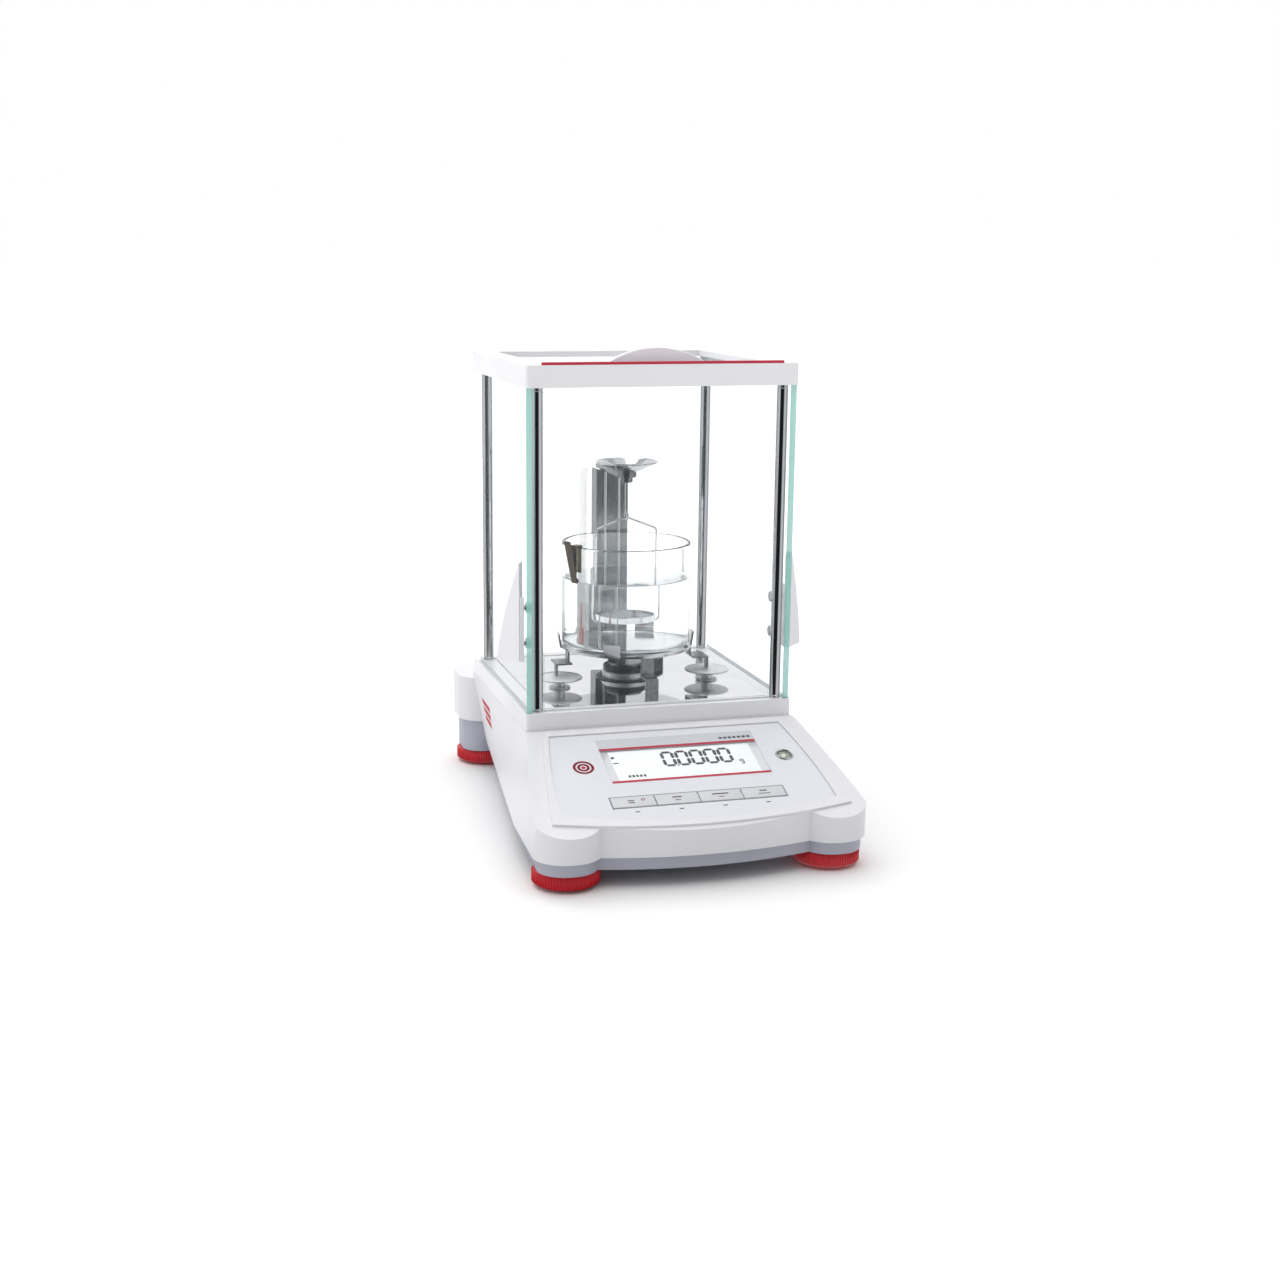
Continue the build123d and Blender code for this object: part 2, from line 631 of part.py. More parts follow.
def stand_legs():
    """Four strip legs: two to the floor, two on to the side discs."""
    low, under = FLOOR_Z, PLATFORM_TOP - SHEET
    legs = []
    for angle in (FRONT_LEG_ANGLE, REAR_LEG_ANGLE):
        strip = block(42, 43.2, -4.4, 4.4, 92, under) + block(42, 53, -4.4, 4.4, 92, 93.2)
        strip += block(51.8, 53, -4.4, 4.4, low, 93.2)
        legs.append(on_platform_edge(angle, strip))
    for side in (-1, 1):
        xs = [side * value for value in (42.0, 43.2, 52.0, 53.2)]
        y0, y1 = 16.0, 24.0
        leg = block(*sorted(xs[:2]), y0, y1, 98, under)
        leg += block(*sorted((xs[0], xs[3])), y0 - 8, y1, 98, 99.2)
        leg += block(*sorted(xs[2:]), y0 - 8, y0 - 2, STAND_DISC_TOP, 99.2)
        legs.append(leg)
    return legs


def stand_discs():
    """Two low discs on stems under the side legs."""
    discs = []
    for side in (-1, 1):
        x = side * STAND_DISC_X
        top = rod(x, STAND_DISC_Y, STAND_DISC_TOP - 1.4, STAND_DISC_TOP, STAND_DISC_RADIUS)
        stem = rod(x, STAND_DISC_Y, FLOOR_Z, STAND_DISC_TOP - 1.4, 3.5)
        discs.append(top + stem + rod(x, STAND_DISC_Y, FLOOR_Z, FLOOR_Z + 1.2, 7))
    return discs


def beaker():
    """Straight glass beaker with a rolled rim and a rounded bottom edge."""
    outer = rod(0, AXIS_Y, PLATFORM_TOP, BEAKER_TOP, BEAKER_RADIUS)
    outer = fillet(outer.edges().group_by(Axis.Z)[0], 4)
    inner = rod(0, AXIS_Y, PLATFORM_TOP + BEAKER_WALL, BEAKER_TOP + 1, BEAKER_RADIUS - BEAKER_WALL)
    inner = fillet(inner.edges().group_by(Axis.Z)[0], 3)
    return outer - inner


def thermometer():
    """Glass tube with the column and bulb inside it."""
    x, y, low = THERMOMETER_X, THERMOMETER_Y, PLATFORM_TOP + 3.4
    bulb = rod(x, y, low + 1.2, low + 13, 1.7) + rod(x, y, low + 13, low + 29, 0.6)
    tube_part = rod(x, y, low, THERMOMETER_TOP, 2.7)
    return tube_part - bulb, bulb


def thermometer_clip():
    """Spring clip over the beaker rim, holding the thermometer."""
    rim = BEAKER_RADIUS
    profile = Polyline(
        (rim + 0.3, 156), (rim + 0.9, 154.4), (rim + 2.0, 158), (rim + 2.0, 177.6), (rim - 2.3, 177.6),
        (rim - 2.3, 160), (rim - 2.8, 160), (rim - 2.8, 178.4), (rim + 2.8, 178.4), (rim + 2.8, 162),
        (rim + 7.4, 181.6), (rim + 8.2, 181.2), (rim + 1.6, 153), (rim + 0.3, 154.6), close=True,
    )
    clip = extrude(Plane.XZ * make_face(profile), CLIP_WIDTH / 2, both=True)
    return on_platform_edge(CLIP_ANGLE, clip) - rod(THERMOMETER_X, THERMOMETER_Y, 100, 240, 2.75)


# Levelling feet


def foot(x, y):
    """Ribbed wheel on its threaded stem, and the pad that it turns on."""
    wheel = rod(x, y, WHEEL_BOTTOM, WHEEL_TOP, WHEEL_RADIUS - 0.5)
    rib = Cylinder(0.62, WHEEL_TOP - WHEEL_BOTTOM - 1.6)
    middle = (WHEEL_BOTTOM + WHEEL_TOP) / 2
    for place in PolarLocations(WHEEL_RADIUS - 0.62, RIB_COUNT):
        wheel += Pos(x, y, middle) * place * rib
    wheel += rod(x, y, WHEEL_TOP, FOOT_BOSS_TOP - 2, STEM_RADIUS)
    wheel -= rod(x, y, 0, 6.3, 3.3) + rod(x, y, 0, WHEEL_BOTTOM + 0.6, 12.3)
    pad = rod(x, y, 0, 2.3, 12) + rod(x, y, 2.3, 6, 3.2)
    return wheel, pad


# Build

os.makedirs("parts", exist_ok=True)

save("lower_housing", lower_housing())
save("upper_housing", upper_housing())
save("housing_screws", *housing_screws())
save("keypad_overlay", keypad_overlay())
save("display_lens", display_lens())
save("lcd_module", lcd_module())
save("main_board", main_board())
level_cup, level_vial = level_pieces()
save("level_housing", level_cup)
save("level_vial", level_vial)
for index, name in enumerate(KEY_NAMES):
    save(name, key_cap(index))

save("power_jack", power_jack())
save("serial_port", serial_port())
save("lower_frame", lower_frame())
save("chamber_floor", chamber_floor())
save("floor_collar", floor_collar())
save("top_frame", top_frame())
save("top_stripe", top_stripe())
save("corner_posts", *posts_at(FRAME_LOW_TOP - POST_SOCKET, POST_TOP, POST_RADIUS))
for name, y in (("front_glass", POST_FRONT_Y), ("rear_glass", POST_BACK_Y)):
    low, high = FRAME_LOW_TOP - GROOVE_DEPTH, TOP_FRAME_Z + 4.6
    save(name, block(-75.6, 75.6, y - GLASS / 2 + 0.05, y + GLASS / 2 - 0.05, low, high))
glass, handle, fixings = side_door()
save("right_door_glass", glass)
save("right_door_handle", handle)
save("right_door_fixings", *fixings)
save("left_door_glass", mirror(glass, about=Plane.YZ))
save("left_door_handle", mirror(handle, about=Plane.YZ))
save("left_door_fixings", *[mirror(fixing, about=Plane.YZ) for fixing in fixings])
lid_glass, lid_handle = lid()
save("top_door_glass", lid_glass)
save("top_door_handle", lid_handle)

save("hanger_post", hanger_post())
save("bracket_hub", bracket_hub())
save("hub_cushion", rod(0, AXIS_Y, HUB_TOP, CUSHION_TOP, HUB_RADIUS - 0.7))
save("bracket_column", bracket_column())
save("bracket_top_arm", bracket_top_arm())
save("upper_dish", upper_dish())
save("hook_rod", hook_rod())
bail, dish = sample_holder()
save("holder_frame", bail)
save("holder_dish", dish)
lever, coil = lever_pieces()
save("lever_beam", lever)
save("force_coil", coil)
save("load_cell_block", load_cell_block())
save("magnet_pot", magnet_pot())

save("stand_platform", stand_platform())
save("stand_legs", *stand_legs())
save("stand_discs", *stand_discs())
save("beaker", beaker())
glass_tube, column = thermometer()
save("thermometer_tube", glass_tube)
save("thermometer_column", column)
save("thermometer_clip", thermometer_clip())

for place, (x, y) in FEET.items():
    wheel, pad = foot(x, y)
    save(f"foot_wheel_{place}", wheel)
    save(f"foot_pad_{place}", pad)
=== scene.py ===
"""Analytical balance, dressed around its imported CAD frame.

The frame gives the places and sizes. This file adds the moulded, polished, ground and printed
surfaces, and the small pieces that the CAD model leaves plain. Units are millimetres in the classes
and metres in Blender; MM turns one into the other.
"""

from __future__ import annotations

import json
import logging
import math
from dataclasses import dataclass
from enum import Enum
from typing import Any, Iterable, Sequence

import bmesh
import bpy
from mathutils import Matrix, Vector

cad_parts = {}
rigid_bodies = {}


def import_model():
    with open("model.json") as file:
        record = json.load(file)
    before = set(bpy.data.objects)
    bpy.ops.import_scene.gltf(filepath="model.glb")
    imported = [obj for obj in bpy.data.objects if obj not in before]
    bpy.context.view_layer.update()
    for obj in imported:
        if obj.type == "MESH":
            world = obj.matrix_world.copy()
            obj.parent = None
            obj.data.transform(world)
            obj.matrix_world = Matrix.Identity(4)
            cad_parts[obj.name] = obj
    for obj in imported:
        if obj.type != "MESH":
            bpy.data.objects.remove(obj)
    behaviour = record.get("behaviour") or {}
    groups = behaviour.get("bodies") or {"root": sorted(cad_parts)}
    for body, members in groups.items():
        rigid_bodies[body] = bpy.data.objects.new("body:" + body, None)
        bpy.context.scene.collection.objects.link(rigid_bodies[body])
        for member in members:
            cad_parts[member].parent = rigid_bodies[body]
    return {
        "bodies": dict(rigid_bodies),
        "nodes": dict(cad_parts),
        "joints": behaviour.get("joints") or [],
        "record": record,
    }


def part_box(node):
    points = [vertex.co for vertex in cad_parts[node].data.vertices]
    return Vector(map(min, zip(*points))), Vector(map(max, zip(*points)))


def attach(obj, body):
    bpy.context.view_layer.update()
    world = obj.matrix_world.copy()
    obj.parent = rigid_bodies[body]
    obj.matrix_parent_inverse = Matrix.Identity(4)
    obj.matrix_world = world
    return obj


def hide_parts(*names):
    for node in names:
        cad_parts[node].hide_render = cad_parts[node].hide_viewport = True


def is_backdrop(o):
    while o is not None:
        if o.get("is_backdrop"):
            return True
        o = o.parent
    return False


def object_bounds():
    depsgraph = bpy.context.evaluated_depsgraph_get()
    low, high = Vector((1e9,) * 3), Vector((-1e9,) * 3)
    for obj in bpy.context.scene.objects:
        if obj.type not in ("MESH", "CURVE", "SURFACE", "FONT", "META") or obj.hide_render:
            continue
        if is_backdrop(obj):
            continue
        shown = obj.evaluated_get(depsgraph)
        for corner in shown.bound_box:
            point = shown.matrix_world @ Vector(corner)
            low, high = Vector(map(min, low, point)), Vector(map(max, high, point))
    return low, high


LOG = logging.getLogger("balance")
MM = 0.001

Outline = Sequence[tuple[float, float]]
Points = list[tuple[float, float]]
Form = bmesh.types.BMesh
Piece = bpy.types.Object
Tree = bpy.types.NodeTree


# ---------------------------------------------------------------- nodes and finishes


def linear(code: str) -> tuple[float, float, float, float]:
    """Linear colour of an sRGB hex code such as #C8232B."""
    levels = [int(code[i : i + 2], 16) / 255 for i in (1, 3, 5)]
    red, green, blue = (v / 12.92 if v <= 0.04045 else ((v + 0.055) / 1.055) ** 2.4 for v in levels)
    return red, green, blue, 1.0


def shade(code: str, factor: float) -> tuple[float, float, float, float]:
    """Linear colour of a hex code, made darker or lighter by a factor."""
    red, green, blue, alpha = linear(code)
    return min(red * factor, 1), min(green * factor, 1), min(blue * factor, 1), alpha


def add_node(tree: Tree, kind: str, sockets: dict | None = None, **settings: Any) -> Any:
    """Adds one node.

    Args:
        tree: the node tree that gets it.
        kind: the node's type name.
        sockets: input name or number to a value, or to the output socket that feeds it.
        settings: attributes of the node.

    Returns:
        The new node.
    """
    node = tree.nodes.new(kind)
    for key, value in settings.items():
        setattr(node, key, value)
    for key, value in (sockets or {}).items():
        if isinstance(value, bpy.types.NodeSocket):
            tree.links.new(value, node.inputs[key])
        else:
            node.inputs[key].default_value = value
    return node


def noise(tree: Tree, size_mm: float, stretch: Sequence[float] = (1, 1, 1), detail: float = 2) -> Any:
    """Noise of a real size on object coordinates.

    Args:
        tree: the material's tree.
        size_mm: size of one grain.
        stretch: how many times longer a grain is along X, Y and Z.
        detail: octaves of finer grain.

    Returns:
        The noise factor's output socket.
    """
    place = add_node(tree, "ShaderNodeTexCoord").outputs["Object"]
    scale = tuple(1 / (size_mm * MM * s) for s in stretch)
    scaled = add_node(tree, "ShaderNodeMapping", {"Vector": place, "Scale": scale})
    sockets = {"Vector": scaled.outputs["Vector"], "Scale": 1.0, "Detail": detail}
    return add_node(tree, "ShaderNodeTexNoise", sockets).outputs["Fac"]


def ranged(tree: Tree, value: Any, low: float, high: float) -> Any:
    """Output socket of a noise value spread over a range."""
    sockets = {"Value": value, "From Min": 0.3, "From Max": 0.7, "To Min": low, "To Max": high}
    return add_node(tree, "ShaderNodeMapRange", sockets).outputs["Result"]


def blended(tree: Tree, value: Any, first: Sequence[float], second: Sequence[float]) -> Any:
    """Output socket of a colour between two, by a noise value."""
    sockets = {0: ranged(tree, value, 0.0, 1.0), 6: first, 7: second}
    return add_node(tree, "ShaderNodeMix", sockets, data_type="RGBA").outputs[2]


def relief(tree: Tree, height: Any, depth_mm: float, strength: float) -> Any:
    """Output socket of a bumped normal."""
    sockets = {"Height": height, "Distance": depth_mm * MM, "Strength": strength}
    return add_node(tree, "ShaderNodeBump", sockets).outputs["Normal"]


@dataclass(frozen=True)
class Finish:
    """A surface finish; the subclasses say how it is made."""

    name: str
    colour: str

    def material(self) -> bpy.types.Material:
        """The finish's material, built once."""
        found = bpy.data.materials.get(self.name)
        if found:
            return found
        made = bpy.data.materials.new(self.name)
        made.use_nodes = True
        made.node_tree.nodes.clear()
        shader = add_node(made.node_tree, "ShaderNodeBsdfPrincipled", self.surface(made.node_tree))
        add_node(made.node_tree, "ShaderNodeOutputMaterial", {"Surface": shader.outputs["BSDF"]})
        made.diffuse_color = linear(self.colour)
        return made

    def surface(self, tree: Tree) -> dict:
        """Sockets of the Principled shader."""
        raise NotImplementedError


@dataclass(frozen=True)
class MouldedPlastic(Finish):
    """ABS from a spark-eroded mould: even colour, a fine pebble that softens highlights."""

    roughness: float = 0.42
    grain_mm: float = 0.7
    depth_mm: float = 0.02

    def surface(self, tree: Tree) -> dict:
        """Faint tone drift over a hand's width, and the pebble in roughness and relief."""
        pebble = noise(tree, self.grain_mm)
        drift = noise(tree, 70.0, detail=1)
        return {
            "Base Color": blended(tree, drift, linear(self.colour), shade(self.colour, 0.965)),
            "Roughness": ranged(tree, pebble, self.roughness - 0.04, self.roughness + 0.05),
            "Normal": relief(tree, pebble, self.depth_mm, 0.25),
        }


@dataclass(frozen=True)
class PrintedFilm(Finish):
    """Screen-printed polyester film: flat ink under a hard satin face."""

    roughness: float = 0.32
    # Emission strength: a painted glow, not a lamp.
    painted_glow: float = 0.0

    def surface(self, tree: Tree) -> dict:
        """Slight orange peel of the hard coat, and a painted glow: emission that stands in for light on the
        film.
        """
        peel = noise(tree, 1.6, detail=1)
        return {
            "Emission Color": linear(self.colour),
            "Emission Strength": self.painted_glow,
            "Base Color": blended(tree, peel, linear(self.colour), shade(self.colour, 0.97)),
            "Roughness": ranged(tree, peel, self.roughness - 0.03, self.roughness + 0.03),
            "Normal": relief(tree, peel, 0.01, 0.15),
        }


@dataclass(frozen=True)
class Ink(Finish):
    """Opaque screen ink: matt, with a little mottle where the mesh left it thin."""

    roughness: float = 0.5

    def surface(self, tree: Tree) -> dict:
        """Mottle of the ink."""
        mottle = noise(tree, 0.5)
        return {
            "Base Color": blended(tree, mottle, linear(self.colour), shade(self.colour, 1.12)),
            "Roughness": ranged(tree, mottle, self.roughness - 0.06, self.roughness + 0.06),
        }


@dataclass(frozen=True)
class PolishedSteel(Finish):
    """Buffed stainless steel: near mirror, with a faint haze and buffing lines."""

    roughness: float = 0.08
    line_mm: float = 0.25
    along: tuple[float, float, float] = (1, 1, 40)

    def surface(self, tree: Tree) -> dict:
        """Haze in patches, and fine lines along the buffing direction."""
        haze = noise(tree, 18.0)
        lines = noise(tree, self.line_mm, self.along)
        return {
            "Base Color": blended(tree, haze, linear(self.colour), shade(self.colour, 0.94)),
            "Metallic": 1.0,
            "Roughness": ranged(tree, haze, self.roughness - 0.03, self.roughness + 0.04),
            "Normal": relief(tree, lines, 0.002, 0.12),
        }


@dataclass(frozen=True)
class BrushedSteel(Finish):
    """Belt-brushed stainless steel: long fine scratches that stretch the highlights."""

    roughness: float = 0.24
    line_mm: float = 0.3
    along: tuple[float, float, float] = (1, 1, 60)

    def surface(self, tree: Tree) -> dict:
        """Scratches in colour, roughness and relief."""
        lines = noise(tree, self.line_mm, self.along, detail=4)
        return {
            "Base Color": blended(tree, lines, linear(self.colour), shade(self.colour, 0.72)),
            "Metallic": 1.0,
            "Roughness": ranged(tree, lines, self.roughness - 0.08, self.roughness + 0.08),
            "Normal": relief(tree, lines, 0.01, 0.3),
        }


@dataclass(frozen=True)
class PaneGlass(Finish):
    """Float glass pane: nearly clear face to face, so a little tint and a sheen are all that shows."""

    alpha: float = 0.07
    roughness: float = 0.02

    def surface(self, tree: Tree) -> dict:
        """Smears too faint to see head on, which break up the sheen."""
        smear = noise(tree, 40.0, (1, 1, 3))
        return {
            "Base Color": blended(tree, smear, linear(self.colour), shade(self.colour, 0.96)),
            "Roughness": ranged(tree, smear, self.roughness, self.roughness + 0.05),
            "Alpha": self.alpha,
            "IOR": 1.52,
        }


@dataclass(frozen=True)
class ClearSolid(Finish):
    """Clear glass or liquid thick enough to bend what is behind it."""

    ior: float = 1.474
    wave_mm: float = 25.0

    def surface(self, tree: Tree) -> dict:
        """The slow unevenness of drawn glass."""
        wave = noise(tree, self.wave_mm, detail=0)
        return {
            "Base Color": linear(self.colour),
            "Roughness": 0.0,
            "Transmission Weight": 1.0,
            "IOR": self.ior,
            "Normal": relief(tree, wave, 0.05, 0.03),
        }


@dataclass(frozen=True)
class SoftRubber(Finish):
    """Moulded rubber: dark, dull, with a dusty bloom."""

    def surface(self, tree: Tree) -> dict:
        """Bloom in patches over a fine grain."""
        bloom = noise(tree, 6.0)
        return {
            "Base Color": blended(tree, bloom, linear(self.colour), shade(self.colour, 1.8)),
            "Roughness": ranged(tree, bloom, 0.62, 0.85),
            "Normal": relief(tree, noise(tree, 0.4), 0.02, 0.3),
        }


@dataclass(frozen=True)
class CircuitBoard(Finish):
    """Glass-epoxy board under green solder mask, with copper tracks showing as lighter bands."""

    def surface(self, tree: Tree) -> dict:
        """Tracks a millimetre or so wide."""
        tracks = noise(tree, 1.2, (6, 1, 1), detail=0)
        return {
            "Base Color": blended(tree, tracks, linear(self.colour), shade(self.colour, 1.9)),
            "Roughness": 0.35,
            "Normal": relief(tree, tracks, 0.05, 0.4),
        }


class Surface(Enum):
    """Every finish on the balance, by what it is."""

    CASE = MouldedPlastic("abs_off_white_spark_eroded", "#E6E6EA", roughness=0.38)
    TRAY = MouldedPlastic("abs_grey_lavender_spark_eroded", "#B2B4C1", roughness=0.45)
    FRAME = MouldedPlastic("abs_white_polished_mould", "#ECECEF", roughness=0.3, grain_mm=0.5, depth_mm=0.01)
    HANDLE = MouldedPlastic("abs_pearl_white_satin", "#F2F1F6", roughness=0.3, grain_mm=0.5)
    KEY = MouldedPlastic("keycap_light_grey", "#D3D4D8", roughness=0.38, grain_mm=0.35)
    FOOT = MouldedPlastic("nylon_signal_red", "#D42430", roughness=0.36, grain_mm=0.5, depth_mm=0.03)
    SOCKET = MouldedPlastic("pbt_black_connector", "#17171A", roughness=0.45, grain_mm=0.4)
    COLLAR = MouldedPlastic("acetal_black_turned", "#101013", roughness=0.28, grain_mm=0.3)
    OVERLAY = PrintedFilm("polyester_film_cool_grey", "#E2E3E9")
    # Reflective display back, brightened by a painted glow (emission with no lamp behind it); the level's bubble
    # uses it too.
    CELL = PrintedFilm("lcd_reflective_back", "#F4F9FA", roughness=0.28, painted_glow=0.12)
    INK_RED = Ink("screen_ink_crimson", "#BC2440")
    INK_DARK = Ink("screen_ink_charcoal", "#3A3B40")
    INK_GREY = Ink("screen_ink_pale_grey", "#C6C8CE")
    SEGMENT = Ink("liquid_crystal_segment", "#15171A", roughness=0.3)
    STEEL = PolishedSteel("stainless_buffed", "#C9CACD", roughness=0.09)
    POST = PolishedSteel("stainless_post_mirror_drawn", "#BDBEC2", roughness=0.07)
    FLOOR = PolishedSteel("stainless_sheet_mirror", "#EDEDEF", roughness=0.05, along=(30, 1, 1))
    COLUMN = BrushedSteel("stainless_channel_brushed", "#85878A", roughness=0.22)
    # Near-white steel: a painted sheen, for the column's beads, the hub band and the side discs.
    BEAD = BrushedSteel("stainless_bead_burnished", "#F4F5F7", roughness=0.5)
    # Darker steel for the stand's legs, which share the platform's steel: painted shade under the platform.
    DARK_STRIP = BrushedSteel("stainless_strip_brushed", "#8E9093", roughness=0.26, along=(1, 1, 30))
    SCREW = BrushedSteel("zinc_plated_screw", "#B6B8BC", roughness=0.3, along=(1, 1, 1))
    ALUMINIUM = BrushedSteel("aluminium_milled", "#B9BCC0", roughness=0.32, along=(1, 40, 1))
    IRON = BrushedSteel("magnet_yoke_nickel", "#7C7E82", roughness=0.34, along=(1, 1, 1))
    COPPER = BrushedSteel("copper_wire_wound", "#B4713F", roughness=0.3, along=(20, 20, 1))
    PANE = PaneGlass("float_glass_face", "#E4F1F0", alpha=0.03)
    PANE_EDGE = PaneGlass("float_glass_ground_edge", "#94D2C8", alpha=0.85, roughness=0.18)
    PANE_RIM = PaneGlass("float_glass_rim_in_groove", "#BFDDD7", alpha=0.2, roughness=0.1)
    LENS = PaneGlass("acrylic_window", "#F4F8FA", alpha=0.05)
    VIAL = PaneGlass("vial_acrylic_dome", "#DDE6D4", alpha=0.45)
    STEM = PaneGlass("thermometer_glass", "#DFE3E4", alpha=0.3)
    LAB_GLASS = ClearSolid("borosilicate_glass", "#FDFEFE")
    WATER = ClearSolid("water", "#FBFDFE", ior=1.11, wave_mm=30.0)
    SPIRIT = MouldedPlastic("thermometer_spirit_red", "#E01A14", roughness=0.15, grain_mm=2.0, depth_mm=0.001)
    CLIP = BrushedSteel("spring_steel_blued", "#5A4E46", roughness=0.35, along=(1, 1, 20))
    CLIP_LEAF = MouldedPlastic("clip_sleeve_khaki", "#8C8562", roughness=0.5)
    RUBBER = SoftRubber("rubber_black_moulded", "#1A1A1C")
    BOARD = CircuitBoard("board_solder_mask", "#1C5A38")

    def material(self) -> bpy.types.Material:
        """The material of this finish."""
        return self.value.material()


# ---------------------------------------------------------------- mesh tools


def linked(name: str, mesh: bpy.types.Mesh) -> Piece:
    """New object of a mesh, in the scene."""
    piece = bpy.data.objects.new(name, mesh)
    bpy.context.scene.collection.objects.link(piece)
    return piece


def around(steps: int) -> list[float]:
    """Angles of equal steps round a full turn."""
    return [2 * math.pi * k / steps for k in range(steps)]


def skin(form: Form, first: Sequence[bmesh.types.BMVert], second: Sequence[bmesh.types.BMVert]) -> None:
    """Faces between two closed rings of vertices; a ring may be one vertex, repeated."""
    for k in range(len(first)):
        n = (k + 1) % len(first)
        corners = list(dict.fromkeys((first[k], first[n], second[n], second[k])))
        if len(corners) > 2:
            form.faces.new(corners)


def smooth_by_angle(mesh: bpy.types.Mesh, degrees: float = 34.0) -> None:
    """Shades a mesh smooth, with a sharp edge wherever two faces meet at more than an angle."""
    form = bmesh.new()
    form.from_mesh(mesh)
    for edge in form.edges:
        edge.smooth = len(edge.link_faces) != 2 or edge.calc_face_angle(0) < math.radians(degrees)
    for face in form.faces:
        face.smooth = True
    form.to_mesh(mesh)
    form.free()


def from_form(name: str, form: Form, surfaces: Sequence[Surface]) -> Piece:
    """Turns a bmesh in millimetres into an object in metres, smooth and facing outwards."""
    bmesh.ops.remove_doubles(form, verts=form.verts, dist=1e-4)
    bmesh.ops.recalc_face_normals(form, faces=form.faces)
    bmesh.ops.scale(form, vec=(MM, MM, MM), verts=form.verts)
    mesh = bpy.data.meshes.new(name)
    form.to_mesh(mesh)
    form.free()
    smooth_by_angle(mesh)
    for surface in surfaces:
        mesh.materials.append(surface.material())
    return linked(name, mesh)


def join_forms(forms: Iterable[Form]) -> Form:
    """One bmesh that holds several, which are freed."""
    joined = bmesh.new()
    for form in forms:
        mesh = bpy.data.meshes.new("part")
        form.to_mesh(mesh)
        form.free()
        joined.from_mesh(mesh)
        bpy.data.meshes.remove(mesh)
    return joined


def softened(points: Outline, radius: float, closed: bool = True, steps: int = 4) -> Points:
    """Rounds the corners of a flat outline.

    Args:
        points: the outline's corners.
        radius: wanted corner radius; a short side makes it smaller.
        closed: whether the last point joins the first.
        steps: divisions of each rounded corner.

    Returns:
        The outline with arcs at its corners.
    """
    result: Points = []
    count = len(points)
    for i, point in enumerate(points):
        if not closed and i in (0, count - 1):
            result.append(tuple(point))
            continue
        here = Vector(point)
        before = Vector(points[i - 1]) - here
        after = Vector(points[(i + 1) % count]) - here
        turn = before.angle(after, math.pi)
        reach = min(radius / max(math.tan(turn / 2), 1e-6), before.length * 0.49, after.length * 0.49)
        if turn > math.radians(176) or reach < 1e-3:
            result.append(tuple(point))
            continue
        start, end = here + before.normalized() * reach, here + after.normalized() * reach
        for k in range(steps + 1):
            t = k / steps
            blend = start * (1 - t) ** 2 + here * 2 * t * (1 - t) + end * t**2
            result.append((blend.x, blend.y))
    return result


def supported(profile: Outline, closed: bool, near: float = 0.4) -> Points:
    """Adds a point near each end of a long segment, so that smooth shading stays at the corners."""
    result: Points = []
    following = list(profile[1:]) + ([profile[0]] if closed else [])
    for point, after in zip(profile, following):
        start, end = Vector(point), Vector(after)
        result.append(tuple(point))
        if (end - start).length > 6 * near:
            step = (end - start).normalized() * near
            result += [tuple(start + step), tuple(end - step)]
    return result if closed else result + [tuple(profile[-1])]


def circle(x: float, y: float, radius: float, steps: int = 40) -> Points:
    """Outline of a circle."""
    return [(x + radius * math.cos(a), y + radius * math.sin(a)) for a in around(steps)]


def lathe(profile: Outline, centre: Sequence[float] = (0.0, 0.0), steps: int = 96, closed: bool = False) -> Form:
    """Turns a profile about an upright axis.

    Args:
        profile: (radius, height) points.
        centre: where the axis stands.
        steps: divisions round the axis.
        closed: whether the last point joins the first, as on a ring.

    Returns:
        The turned shape.
    """
    form = bmesh.new()
    rings = []
    for radius, height in supported(profile, closed):
        if radius < 1e-6:
            rings.append([form.verts.new((centre[0], centre[1], height))] * steps)
            continue
        outline = circle(centre[0], centre[1], radius, steps)
        rings.append([form.verts.new((x, y, height)) for x, y in outline])
    for low, high in zip(rings, rings[1:]):
        skin(form, low, high)
    if closed:
        skin(form, rings[-1], rings[0])
    return form


def slab(low: Sequence[float], high: Sequence[float], bevel: float, steps: int = 3) -> Form:
    """Box between two corners with rounded edges."""
    form = bmesh.new()
    size = [b - a for a, b in zip(low, high)]
    middle = [(a + b) / 2 for a, b in zip(low, high)]
    bmesh.ops.create_cube(form, size=1.0, matrix=Matrix.Translation(middle) @ Matrix.Diagonal((*size, 1)))
    bmesh.ops.bevel(form, geom=form.edges[:], offset=bevel, segments=steps, profile=0.5, affect="EDGES")
    return form


def plate(outline: Outline, low: float, high: float, bevel: float = 0.0, steps: int = 2) -> Form:
    """Flat piece: an outline in XY given a thickness, with its rims rounded."""
    form = bmesh.new()
    bottom = form.faces.new([form.verts.new((x, y, low)) for x, y in outline])
    grown = bmesh.ops.extrude_face_region(form, geom=[bottom])
    lifted = [v for v in grown["geom"] if isinstance(v, bmesh.types.BMVert)]
    bmesh.ops.translate(form, verts=lifted, vec=(0, 0, high - low))
    bmesh.ops.recalc_face_normals(form, faces=form.faces)
    if bevel:
        rims = [e for e in form.edges if abs(e.verts[0].co.z - e.verts[1].co.z) < 1e-6]
        bmesh.ops.bevel(form, geom=rims, offset=bevel, segments=steps, profile=0.5, affect="EDGES")
    return form


def moved(form: Form, matrix: Matrix) -> Form:
    """The same bmesh, placed by a matrix."""
    bmesh.ops.transform(form, matrix=matrix, verts=form.verts)
    return form


